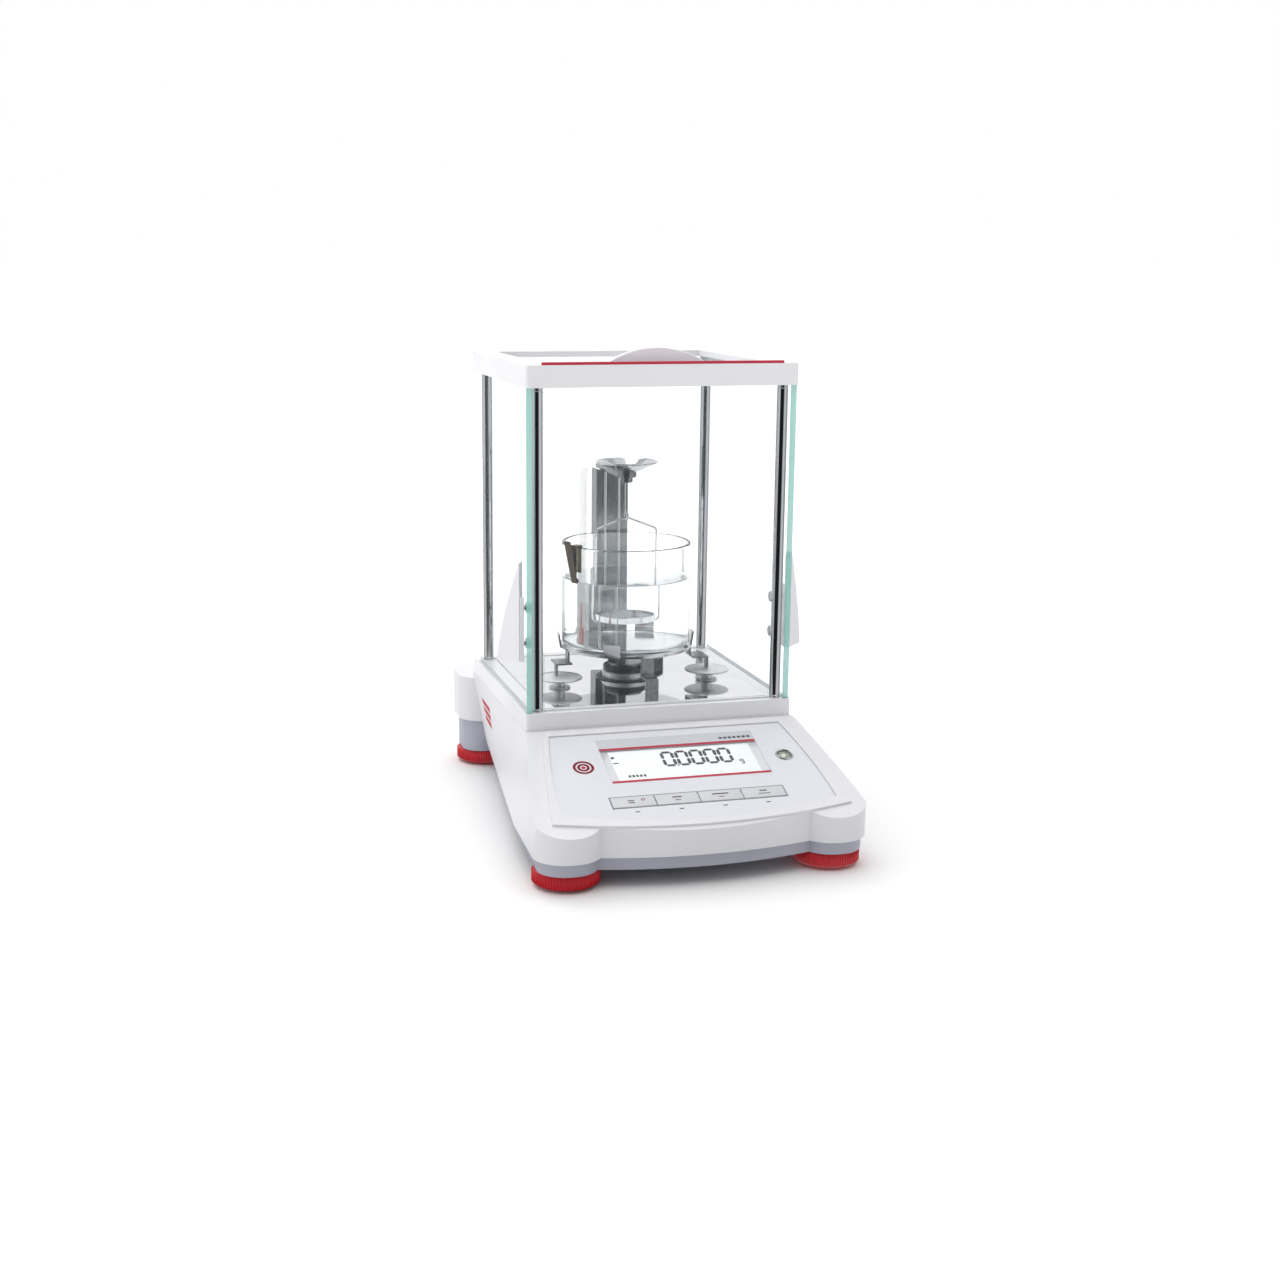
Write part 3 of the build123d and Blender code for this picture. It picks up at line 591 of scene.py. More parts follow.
def wire(points: Sequence[Sequence[float]], radius: float, bend: float, sides: int = 12) -> Form:
    """Round wire bent along points that lie in one upright plane.

    Args:
        points: corners of the path.
        radius: half the wire's thickness.
        bend: radius of the bends.
        sides: faces round the wire.

    Returns:
        The wire, with closed ends.
    """
    flat = softened([(p[0], p[2]) for p in points], bend, closed=False, steps=8)
    path = [Vector((x, points[0][1], z)) for x, z in flat]
    form = bmesh.new()
    rings = []
    for i, place in enumerate(path):
        ahead = path[min(i + 1, len(path) - 1)] - path[max(i - 1, 0)]
        side = Vector((0, 1, 0))
        up = ahead.normalized().cross(side)
        spokes = [side * math.cos(a) + up * math.sin(a) for a in around(sides)]
        rings.append([form.verts.new(place + spoke * radius) for spoke in spokes])
    for low, high in zip(rings, rings[1:]):
        skin(form, low, high)
    form.faces.new(rings[0])
    form.faces.new(rings[-1])
    return form


@dataclass
class Bench:
    """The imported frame, and the calls that hang finished pieces on it."""

    frame: dict
    count: int = 0
    rounding_steps: int = 3
    rounded_above: float = 28.0

    def box(self, node: str) -> tuple[Vector, Vector]:
        """Lowest and highest corner of a CAD node, in millimetres."""
        low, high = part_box(node)
        return low / MM, high / MM

    def fit(self, piece: Piece, body: str, slot: str, *nodes: str) -> Piece:
        """Hangs a piece on its body.

        Args:
            piece: the finished piece.
            body: CAD body that it moves with.
            slot: the record's material slot; not used.
            nodes: CAD nodes that it stands for.

        Returns:
            The piece.
        """
        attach(piece, body)
        if nodes:
            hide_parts(*nodes)
        self.count += 1
        LOG.info("%s on %s, %d faces", piece.name, body, len(piece.data.polygons))
        return piece

    def dress(self, node: str, surface: Surface) -> None:
        """Gives a CAD node that keeps its own shape its finish."""
        piece = self.frame["nodes"][node]
        for place in piece.material_slots:
            place.material = surface.material()
        if not piece.material_slots:
            piece.data.materials.append(surface.material())
        LOG.info("%s dressed as %s", node, surface.value.name)

    def softened_copy(self, node: str, surface: Surface, bevel: float) -> Piece:
        """Copy of a CAD node with rounded edges.

        Two middle cuts keep a flat face from closing on itself round an opening.

        Args:
            node: CAD node to copy.
            surface: its finish.
            bevel: width of the rounding, in millimetres.

        Returns:
            The copy, as a new object.
        """
        form = bmesh.new()
        form.from_mesh(self.frame["nodes"][node].data)
        bmesh.ops.remove_doubles(form, verts=form.verts, dist=2e-6)
        middle = sum(self.box(node), Vector()) / 2 * MM
        for axis in range(2):
            across = Vector((axis == 0, axis == 1, 0))
            everything = [*form.verts, *form.edges, *form.faces]
            bmesh.ops.bisect_plane(form, geom=everything, dist=1e-7, plane_co=middle, plane_no=across)
            for edge in form.edges:
                if max(abs(v.co[axis] - middle[axis]) for v in edge.verts) < 1e-6:
                    edge.seam = True
        flat = math.radians(0.6)
        bmesh.ops.dissolve_limit(form, angle_limit=flat, verts=form.verts, edges=form.edges, delimit={"SEAM"})
        mesh = bpy.data.meshes.new(f"{node}_soft")
        form.to_mesh(mesh)
        form.free()
        smooth_by_angle(mesh, 50)
        mesh.materials.clear()
        mesh.materials.append(surface.material())
        piece = linked(f"{node}_soft", mesh)
        rounding = piece.modifiers.new("rounding", "BEVEL")
        rounding.width = bevel * MM
        rounding.segments = self.rounding_steps
        rounding.limit_method = "ANGLE"
        rounding.angle_limit = math.radians(self.rounded_above)
        rounding.harden_normals = True
        return piece


# ---------------------------------------------------------------- geometry nodes


def new_tree(name: str, inputs: dict[str, str]) -> tuple[Tree, Any, Any]:
    """Empty geometry node tree.

    Args:
        name: the tree's name.
        inputs: input name to socket type.

    Returns:
        The tree, its input node and its output node.
    """
    tree = bpy.data.node_groups.new(name, "GeometryNodeTree")
    tree.interface.new_socket("Geometry", in_out="INPUT", socket_type="NodeSocketGeometry")
    for label, kind in inputs.items():
        tree.interface.new_socket(label, in_out="INPUT", socket_type=kind)
    tree.interface.new_socket("Geometry", in_out="OUTPUT", socket_type="NodeSocketGeometry")
    return tree, add_node(tree, "NodeGroupInput"), add_node(tree, "NodeGroupOutput")


def finish_tree(tree: Tree, group: Any, out: Any, points: Any, piece: Any) -> None:
    """Ends a tree: a piece on every point, made real, dressed and sent out."""
    stood = add_node(tree, "GeometryNodeInstanceOnPoints", {"Points": points, "Instance": piece})
    real = add_node(tree, "GeometryNodeRealizeInstances", {"Geometry": stood.outputs["Instances"]})
    finish = {"Geometry": real.outputs["Geometry"], "Material": group.outputs["Material"]}
    dressed = add_node(tree, "GeometryNodeSetMaterial", finish)
    tree.links.new(dressed.outputs["Geometry"], out.inputs["Geometry"])


def ring_of_ribs() -> Tree:
    """Tree that stands ribs in a ring, as on a knurled wheel."""
    kinds = {
        "Count": "NodeSocketInt",
        "Ring Radius": "NodeSocketFloat",
        "Rib Radius": "NodeSocketFloat",
        "Rib Length": "NodeSocketFloat",
        "Centre": "NodeSocketVector",
        "Material": "NodeSocketMaterial",
    }
    tree, group, out = new_tree("ring_of_ribs", kinds)
    sizes = {"Vertices": group.outputs["Count"], "Radius": group.outputs["Ring Radius"]}
    ring = add_node(tree, "GeometryNodeMeshCircle", sizes)
    sizes = {"Vertices": 8, "Radius": group.outputs["Rib Radius"], "Depth": group.outputs["Rib Length"]}
    rib = add_node(tree, "GeometryNodeMeshCylinder", sizes)
    smooth = add_node(tree, "GeometryNodeSetShadeSmooth", {"Geometry": rib.outputs["Mesh"]})
    at = {"Geometry": ring.outputs["Mesh"], "Translation": group.outputs["Centre"]}
    place = add_node(tree, "GeometryNodeTransform", at)
    finish_tree(tree, group, out, place.outputs["Geometry"], smooth.outputs["Geometry"])
    return tree


def row_of_copies() -> Tree:
    """Tree that repeats one piece along a straight line."""
    kinds = {
        "Piece": "NodeSocketObject",
        "Count": "NodeSocketInt",
        "Start": "NodeSocketVector",
        "Step": "NodeSocketVector",
        "Material": "NodeSocketMaterial",
    }
    tree, group, out = new_tree("row_of_copies", kinds)
    given = group.outputs
    run = {"Count": given["Count"], "Start Location": given["Start"], "Offset": given["Step"]}
    line = add_node(tree, "GeometryNodeMeshLine", run)
    piece = add_node(tree, "GeometryNodeObjectInfo", {"Object": group.outputs["Piece"]})
    finish_tree(tree, group, out, line.outputs["Mesh"], piece.outputs["Geometry"])
    return tree


def copies_at_points() -> Tree:
    """Tree that sets one piece at every vertex of the mesh that it works on."""
    kinds = {"Piece": "NodeSocketObject", "Material": "NodeSocketMaterial"}
    tree, group, out = new_tree("copies_at_points", kinds)
    piece = add_node(tree, "GeometryNodeObjectInfo", {"Object": group.outputs["Piece"]})
    finish_tree(tree, group, out, group.outputs["Geometry"], piece.outputs["Geometry"])
    return tree


class Repeat(Enum):
    """The ways in which a small piece repeats."""

    RING = "ring_of_ribs"
    ROW = "row_of_copies"
    POINTS = "copies_at_points"

    def tree(self) -> Tree:
        """The repeat's node tree, built once."""
        makers = {Repeat.RING: ring_of_ribs, Repeat.ROW: row_of_copies, Repeat.POINTS: copies_at_points}
        return bpy.data.node_groups.get(self.value) or makers[self]()


def grown(name: str, repeat: Repeat, inputs: dict[str, Any], points: Sequence[Sequence[float]] = ()) -> Piece:
    """Runs a node tree and keeps its result as a plain mesh.

    Args:
        name: name of the new piece.
        repeat: which tree.
        inputs: input name to value, in metres.
        points: vertices that the tree works on, in metres.

    Returns:
        The piece, with no modifier left.
    """
    seed = bpy.data.meshes.new(f"{name}_points")
    seed.from_pydata([tuple(p) for p in points], [], [])
    carrier = linked(f"{name}_carrier", seed)
    modifier = carrier.modifiers.new("repeat", "NODES")
    modifier.node_group = repeat.tree()
    for item in modifier.node_group.interface.items_tree:
        if item.item_type == "SOCKET" and item.in_out == "INPUT" and item.name in inputs:
            modifier[item.identifier] = inputs[item.name]
    bpy.context.view_layer.update()
    ready = carrier.evaluated_get(bpy.context.evaluated_depsgraph_get())
    mesh = bpy.data.meshes.new_from_object(ready)
    mesh.name = name
    bpy.data.objects.remove(carrier)
    bpy.data.meshes.remove(seed)
    return linked(name, mesh)


def merged(name: str, pieces: Sequence[Piece]) -> Piece:
    """Joins several objects into one, with each one's materials kept."""
    form = bmesh.new()
    slots: list[bpy.types.Material] = []
    for piece in pieces:
        start = len(form.faces)
        form.from_mesh(piece.data)
        form.faces.ensure_lookup_table()
        own = list(piece.data.materials)
        for material in own:
            if material not in slots:
                slots.append(material)
        for face in form.faces[start:]:
            face.material_index = slots.index(own[face.material_index]) if own else 0
        mesh = piece.data
        bpy.data.objects.remove(piece)
        bpy.data.meshes.remove(mesh)
    joined = bpy.data.meshes.new(name)
    form.to_mesh(joined)
    form.free()
    for material in slots:
        joined.materials.append(material)
    return linked(name, joined)


# ---------------------------------------------------------------- panel coordinates

SLOPE = math.radians(20.0)
FRONT_Y = -160.5
SLOPE_START_Z = 35.3


def on_panel() -> Matrix:
    """Matrix from panel coordinates (across, up the slope, outwards) to the frame."""
    tilt = Matrix.Rotation(SLOPE, 4, "X")
    return Matrix.Translation((0, FRONT_Y, SLOPE_START_Z)) @ tilt


def bar(x0: float, y0: float, x1: float, y1: float) -> Points:
    """Outline of an upright rectangle."""
    return [(x0, y0), (x1, y0), (x1, y1), (x0, y1)]


def hoop(x: float, y: float, outer: float, inner: float, steps: int) -> list[Points]:
    """Outlines that make a flat ring."""
    ring, hole = circle(x, y, outer, steps), circle(x, y, inner, steps)
    following = [(k, (k + 1) % steps) for k in range(steps)]
    return [[ring[k], ring[n], hole[n], hole[k]] for k, n in following]


def stroke(x0: float, y0: float, x1: float, y1: float, width: float) -> Points:
    """Outline of a straight stroke between two points."""
    along = Vector((x1 - x0, y1 - y0)).normalized() * width / 2
    side = Vector((-along.y, along.x))
    ends = ((x0, y0, 1), (x0, y0, -1), (x1, y1, -1), (x1, y1, 1))
    return [(x + side.x * way, y + side.y * way) for x, y, way in ends]


def printed(name: str, outlines: Iterable[Outline], surface: Surface, low: float, thick: float = 0.05) -> Piece:
    """Flat marks on the panel, as one piece."""
    forms = [plate(outline, low, low + thick) for outline in outlines]
    return from_form(name, moved(join_forms(forms), on_panel()), [surface])


# ---------------------------------------------------------------- case


@dataclass
class Case:
    """Upper and lower housing, their screws and the sockets at the back."""

    bench: Bench
    shell_round: float = 1.6
    tray_round: float = 0.8
    screw_radius: float = 2.95
    screw_places: tuple = ((-78, -118), (78, -118), (-80, 0), (80, 0), (-62, 100), (62, 100))
    seam_z: float = 19.4
    deck_z: float = 71.8
    low_wall: tuple = ((-79.0, 101.5), (130.0, 77.5))
    top_wall: tuple = ((-57.0, 89.0), (130.0, 89.0))
    stripes: tuple = ((52.0, 80.0, 45.0), (54.0, 84.0, 50.0), (56.0, 88.0, 55.0))

    def build(self) -> None:
        """Builds and hangs every piece of the case."""
        self.housings()
        self.screws()
        self.power_socket()
        self.data_socket()
        self.side_stripes()

    def housings(self) -> None:
        """Both mouldings, with the soft edges that the mould gives them."""
        upper = self.bench.softened_copy("upper_housing", Surface.CASE, self.shell_round)
        self.bench.fit(upper, "case", "housing_white", "upper_housing")
        lower = self.bench.softened_copy("lower_housing", Surface.TRAY, self.tray_round)
        self.bench.fit(lower, "case", "tray_grey", "lower_housing")

    def screw(self) -> Piece:
        """Pan-head screw seen from below, with a round recess and a length of thread."""
        r = self.screw_radius
        low, high = self.bench.box("housing_screws")
        base = low.z
        recess = [(0, base + 0.9), (0.7, base + 0.9), (1.2, base)]
        head = [*recess, (r - 0.8, base), (r - 0.15, base + 0.5), (r, base + 1.2)]
        body = [(r, base + 1.9), (1.5, base + 2.0)]
        pitch, turns = 0.8, 19
        thread = [(1.45 - 0.25 * (k % 2), base + 2.4 + pitch / 2 * k) for k in range(2 * turns)]
        top = [(1.0, high.z - 0.5), (0, high.z - 0.1)]
        return from_form("screw_pattern", lathe(head + body + thread + top, steps=12), [Surface.SCREW])

    def screws(self) -> None:
        """Six screws, set by a node tree."""
        pattern = self.screw()
        points = [(x * MM, y * MM, 0) for x, y in self.screw_places]
        inputs = {"Piece": pattern, "Material": Surface.SCREW.material()}
        row = grown("case_screws", Repeat.POINTS, inputs, points)
        bpy.data.objects.remove(pattern)
        self.bench.fit(row, "case", "screw_steel", "housing_screws")

    def power_socket(self) -> None:
        """Barrel socket: a block with a sleeve and a centre pin."""
        low, high = self.bench.box("power_jack")
        middle_x, middle_z = (low.x + high.x) / 2, (low.z + high.z) / 2
        turn = Matrix.Translation((middle_x, high.y, middle_z)) @ Matrix.Rotation(math.radians(90), 4, "X")
        ring = [(6.3, 0), (6.3, 0.1), (5.4, 0.1), (3.4, 0.1), (3.2, 0.4), (3.2, 9.0), (6.3, 9.0)]
        body = slab((low.x, low.y, low.z), (high.x, high.y - 0.1, high.z), 0.5)
        sleeve = moved(lathe(ring, steps=40, closed=True), turn)
        pin = moved(lathe([(0, 0.6), (0.7, 0.6), (1.0, 1.2), (1.0, 10.0), (0, 10.0)], steps=20), turn)
        front = [f for f in body.faces if f.normal.y > 0.9 and f.calc_area() > 50]
        bmesh.ops.delete(body, geom=front, context="FACES")
        face = self.plate_with_hole(low, high, middle_x, middle_z)
        shell = from_form("power_socket_shell", join_forms([body, sleeve, face]), [Surface.SOCKET])
        centre = from_form("power_socket_pin", pin, [Surface.SCREW])
        piece = merged("power_socket", [shell, centre])
        self.bench.fit(piece, "case", "socket_black", "power_jack")

    def plate_with_hole(self, low: Vector, high: Vector, x: float, z: float, hole: float = 3.4) -> Form:
        """Front face of the power socket, with the round mouth in it."""
        form = bmesh.new()
        y = high.y - 0.1
        half_x, half_z = (high.x - low.x) / 2 - 0.5, (high.z - low.z) / 2 - 0.5
        inner, outer = [], []
        for a in around(40):
            reach = 1 / max(abs(math.cos(a)) / half_x, abs(math.sin(a)) / half_z)
            inner.append(form.verts.new((x + hole * math.cos(a), y, z + hole * math.sin(a))))
            outer.append(form.verts.new((x + reach * math.cos(a), y, z + reach * math.sin(a))))
        skin(form, outer, inner)
        return form

    def data_socket(self) -> None:
        """Nine-way socket: a flange, a pressed shell and two rows of pins."""
        low, high = self.bench.box("serial_port")
        x = (low.x + high.x) / 2
        z = (low.z + high.z) / 2
        turn = Matrix.Translation((x, 0, z)) @ Matrix.Rotation(math.radians(90), 4, "X")
        flange = plate(softened(bar(-15.5, -6.3, 15.5, 6.3), 1.0), -high.y, -high.y + 0.8, 0.2)
        block = plate(softened(bar(-16, -6.5, 16, 6.5), 1.2), -high.y + 0.8, -low.y, 0.3)
        wide, narrow = 8.6, 7.6
        outline = softened([(-narrow, -4.0), (narrow, -4.0), (wide, 4.0), (-wide, 4.0)], 1.6)
        low_edge, high_edge = narrow - 0.5, wide - 0.6
        inside = softened([(-low_edge, -3.5), (low_edge, -3.5), (high_edge, 3.5), (-high_edge, 3.5)], 1.3)
        front, back = -high.y, -high.y + 0.3
        face = plate(inside, front, back)
        shell = bmesh.new()
        rings = []
        for ring, depth in ((outline, back), (outline, front), (inside, front), (inside, back)):
            rings.append([shell.verts.new((px, pz, depth)) for px, pz in ring])
        for outer, inner in zip(rings, rings[1:]):
            skin(shell, outer, inner)
        body = from_form("data_body", moved(join_forms([block, face]), turn), [Surface.SOCKET])
        metal = from_form("data_shell", moved(join_forms([shell, flange]), turn), [Surface.SCREW])
        pin_form = lathe([(0, 0), (0.5, 0.0), (0.5, 0.06), (0, 0.06)], steps=12)
        lying = Matrix.Rotation(math.radians(-90), 4, "X")
        pattern = from_form("pin_pattern", moved(pin_form, lying), [Surface.SCREW])
        pins = []
        pitch = 2.77
        for count, height in ((5, 1.4), (4, -1.4)):
            inputs = {
                "Piece": pattern,
                "Count": count,
                "Start": ((x - (count - 1) * pitch / 2) * MM, (high.y - 0.06) * MM, (z + height) * MM),
                "Step": (pitch * MM, 0.0, 0.0),
                "Material": Surface.SCREW.material(),
            }
            pins.append(grown(f"pins_{count}", Repeat.ROW, inputs))
        bpy.data.objects.remove(pattern)
        piece = merged("data_socket", [body, metal, *pins])
        self.bench.fit(piece, "case", "socket_black", "serial_port")

    def side_stripes(self) -> None:
        """Three plain red stripes printed on the left wall of the case."""
        form = bmesh.new()
        count, lean = 12, 1.8
        for start, end, low in self.stripes:
            rows = []
            for k in range(count + 1):
                y = start + (end - start) * k / count
                edges = (self.on_left_wall(y, low), self.on_left_wall(y + lean, low + lean * 2))
                rows.append([form.verts.new(point) for point in edges])
            for a, b in zip(rows, rows[1:]):
                form.faces.new((a[0], b[0], b[1], a[1]))
        grown_form = bmesh.ops.extrude_face_region(form, geom=form.faces[:])
        raised = [v for v in grown_form["geom"] if isinstance(v, bmesh.types.BMVert)]
        bmesh.ops.translate(form, verts=raised, vec=(-0.05, 0, 0))
        self.bench.fit(from_form("wall_stripes", form, [Surface.INK_RED]), "case", "overlay_grey")

    def on_left_wall(self, y: float, z: float) -> Vector:
        """Point on the left wall of the case, which tapers both ways."""
        f = (z - self.seam_z) / (self.deck_z - self.seam_z)
        (ly0, lx0), (ly1, lx1) = self.low_wall
        (ty0, tx0), (ty1, tx1) = self.top_wall
        y0, y1 = ly0 * (1 - f) + ty0 * f, ly1 * (1 - f) + ty1 * f
        t = (y - y0) / (y1 - y0)
        x = (lx0 * (1 - f) + tx0 * f) * (1 - t) + (lx1 * (1 - f) + tx1 * f) * t
        return Vector((-x - 0.02, y, z))


# ---------------------------------------------------------------- feet


@dataclass
class LevellingFeet:
    """Four knurled wheels, each on a rubber pad."""

    bench: Bench
    places: tuple[str, ...] = ("front_left", "front_right", "rear_left", "rear_right")
    radius: float = 20.6
    rib_count: int = 72
    rib_radius: float = 0.62
    stem: float = 3.95

    def build(self) -> None:
        """Builds every foot."""
        for place in self.places:
            self.wheel(place)
            self.pad(place)

    def wheel(self, place: str) -> None:
        """Wheel with a dished underside, ribs round its rim and a threaded stem."""
        low, high = self.bench.box(f"foot_wheel_{place}")
        x, y = (low.x + high.x) / 2, (low.y + high.y) / 2
        r, top = self.radius - 0.55, 10.7
        under = [(3.35, 6.4), (3.35, 3.0), (12.35, 2.6), (12.35, low.z + 0.1), (12.8, low.z), (r - 1.0, low.z)]
        side = [(r, low.z + 1.0), (r, top - 1.0), (r - 0.3, top - 0.3), (r - 1.0, top), (self.stem + 1, top)]
        pitch = 1.25
        turns = int((high.z - 1 - top) / pitch * 2)
        thread = [(self.stem - 0.35 * (k % 2), top + 0.4 + pitch / 2 * k) for k in range(turns)]
        cap = [(self.stem - 1, high.z), (0, high.z), (0, 6.4)]
        turned = lathe(under + side + thread + cap, (x, y))
        core = from_form(f"wheel_core_{place}", turned, [Surface.FOOT])
        inputs = {
            "Count": self.rib_count,
            "Ring Radius": (self.radius - self.rib_radius) * MM,
            "Rib Radius": self.rib_radius * MM,
            "Rib Length": (top - low.z - 2.0) * MM,
            "Centre": (x * MM, y * MM, (top + low.z) / 2 * MM),
            "Material": Surface.FOOT.material(),
        }
        ribs = grown(f"wheel_ribs_{place}", Repeat.RING, inputs)
        piece = merged(f"wheel_{place}", [core, ribs])
        self.bench.fit(piece, f"{place}_wheel", "foot_red", f"foot_wheel_{place}")

    def pad(self, place: str) -> None:
        """Rubber pad with a grooved sole, and its pin."""
        low, high = self.bench.box(f"foot_pad_{place}")
        x, y = (low.x + high.x) / 2, (low.y + high.y) / 2
        sole = [(0, 0.4), (4, 0.4), (4.4, 0), (7, 0), (7.4, 0.4), (8.4, 0.4), (8.8, 0), (11.4, 0), (12, 0.5)]
        rest = [(12, 1.9), (11.6, 2.3), (3.2, 2.3), (3.2, high.z - 0.4), (2.8, high.z), (0, high.z)]
        piece = from_form(f"pad_{place}", lathe(sole + rest, (x, y)), [Surface.RUBBER])
        self.bench.fit(piece, f"{place}_pad", "pad_rubber", f"foot_pad_{place}")


# ---------------------------------------------------------------- panel


class Glyph(Enum):
    """Seven-segment shapes, as the segments that are lit."""

    ZERO = "abcdef"
    G = "abcdfg"


@dataclass
class Panel:
    """Sloping front panel: film, window, display, keys and spirit level."""

    bench: Bench
    film_top: float = 0.6
    window_x: tuple[float, float] = (-48.1, 54.5)
    window_s: tuple[float, float] = (49.0, 85.0)
    digit: tuple[float, float] = (6.6, 13.6)
    digit_start: float = -9.6
    digit_pitch: float = 9.25
    digit_low: float = 64.5
    stroke: float = 2.1
    unit: tuple[float, float] = (38.6, 61.5)
    emblem: tuple[float, float] = (-62.0, 67.0)
    key_start: float = -53.9
    key_pitch: float = 27.45
    key_s: tuple[float, float] = (24.9, 34.5)
    keys: tuple[str, ...] = ("zero", "print", "function", "tare")
    level: tuple[float, float] = (68.3, 66.0)

    def build(self) -> None:
        """Builds every piece of the panel."""
        film = self.bench.softened_copy("keypad_overlay", Surface.OVERLAY, 0.25)
        self.bench.fit(film, "case", "overlay_grey", "keypad_overlay")
        self.lens()
        self.display()
        self.graphics()
        for index, name in enumerate(self.keys):
            self.key(index, name)
        self.spirit_level()
        self.bench.dress("main_board", Surface.BOARD)

    def lens(self) -> None:
        """Clear window with the two red lines printed on it."""
        (x0, x1), (s0, s1) = self.window_x, self.window_s
        form = slab((x0, s0 + 0.1, -0.4), (x1, s1 - 0.1, 0.45), 0.12)
        glass = from_form("window_clear", moved(form, on_panel()), [Surface.LENS])
        lines = [bar(x0 + 0.3, s1 - 2.2, x1 - 0.3, s1 - 0.3), bar(x0 + 0.3, s0 + 0.3, x1 - 0.3, s0 + 2.2)]
        ink = printed("window_lines", lines, Surface.INK_RED, 0.45)
        piece = merged("display_window", [glass, ink])
        self.bench.fit(piece, "case", "lens_clear", "display_lens")

    def glyph(self, kind: Glyph, x: float, s: float, size: Sequence[float], thick: float) -> list[Outline]:
        """Outlines of one seven-segment figure."""
        width, height = size
        half, gap, cut = height / 2, thick * 0.12, thick / 2
        places = {
            "a": (x, s + height, x + width, s + height),
            "b": (x + width, s + half, x + width, s + height),
            "c": (x + width, s, x + width, s + half),
            "d": (x, s, x + width, s),
            "e": (x, s, x, s + half),
            "f": (x, s + half, x, s + height),
            "g": (x, s + half, x + width, s + half),
        }
        outlines = []
        for letter in kind.value:
            ax, ay, bx, by = places[letter]
            start, end = Vector((ax, ay)), Vector((bx, by))
            along = (end - start).normalized()
            side = Vector((-along.y, along.x)) * cut
            tip, back = start + along * gap, end - along * gap
            near, far = tip + along * cut, back - along * cut
            shape = [tip, near - side, far - side, back, far + side, near + side]
            outlines.append([(p.x, p.y) for p in shape])
        return outlines

    def display(self) -> None:
        """Display module: bezel, reflective cell brightened by a painted glow, and the lit figures."""
        shell = self.bench.softened_copy("lcd_module", Surface.SOCKET, 0.2)
        bpy.context.view_layer.update()
        (x0, x1), (s0, s1) = self.window_x, self.window_s
        cell_form = slab((x0 + 0.2, s0 + 0.2, -0.64), (x1 - 0.2, s1 - 0.2, -0.5), 0.03)
        cell = from_form("cell", moved(cell_form, on_panel()), [Surface.CELL])
        marks: list[Outline] = []
        for index in range(5):
            x = self.digit_start + index * self.digit_pitch
            marks += self.glyph(Glyph.ZERO, x, self.digit_low, self.digit, self.stroke)
        dot = self.digit_start + (self.digit_pitch + self.digit[0]) / 2
        marks.append(bar(dot - 0.6, self.digit_low - 0.9, dot + 0.6, self.digit_low + 0.3))
        marks += self.glyph(Glyph.G, *self.unit, (2.2, 4.2), 0.85)
        marks.append(circle(x0 + 6.8, 76.0, 1.15))
        marks.append(bar(x0 + 6.0, 69.9, x0 + 9.4, 70.9))
        marks += [bar(-36 + 2.4 * k, 55.2, -34.4 + 2.4 * k, 57.4) for k in range(5)]
        figures = printed("cell_figures", marks, Surface.SEGMENT, -0.5, 0.05)
        module = self.baked(shell)
        piece = merged("display_module", [module, cell, figures])
        self.bench.fit(piece, "case", "lcd", "lcd_module")

    def baked(self, piece: Piece) -> Piece:
        """The same piece with its modifiers turned into mesh."""
        bpy.context.view_layer.update()
        ready = piece.evaluated_get(bpy.context.evaluated_depsgraph_get())
        mesh = bpy.data.meshes.new_from_object(ready)
        result = bpy.data.objects.new(f"{piece.name}_baked", mesh)
        bpy.context.scene.collection.objects.link(result)
        bpy.data.objects.remove(piece)
        return result

    def graphics(self) -> None:
        """Printed marks: rings, a band with blocks above the window, and rules round the keys."""
        top = self.film_top
        (x0, x1), (_, s1) = self.window_x, self.window_s
        band = printed("panel_band", [softened(bar(x0, s1 + 0.6, x1, s1 + 9.0), 0.5)], Surface.INK_GREY, top)
        emblem = []
        for radius in (6.6, 3.9):
            emblem += hoop(*self.emblem, radius, radius - 1.7, 48)
        emblem.append(circle(*self.emblem, 1.4))
        red = printed("panel_emblem", emblem, Surface.INK_RED, top)
        rules = [bar(x1 - 23 + 3.1 * k, s1 + 2.0, x1 - 20.8 + 3.1 * k, s1 + 4.0) for k in range(7)]
        for index in range(len(self.keys)):
            middle = self.key_start + (index + 0.5) * self.key_pitch
            rules.append(bar(middle - 1.4, 19.6, middle + 1.4, 20.4))
        end = self.key_start + len(self.keys) * self.key_pitch
        low, high = self.key_s
        left, right, below, above, thin = self.key_start - 0.5, end + 0.5, low - 0.9, high + 0.9, 0.3
        frame = [bar(left, below, right, below + thin), bar(left, above - thin, right, above)]
        frame += [bar(left, below, left + thin, above), bar(right - thin, below, right, above)]
        dark = printed("panel_rules", rules + frame, Surface.INK_DARK, top + 0.01)
        self.bench.fit(merged("panel_print", [band, red, dark]), "case", "overlay_grey")

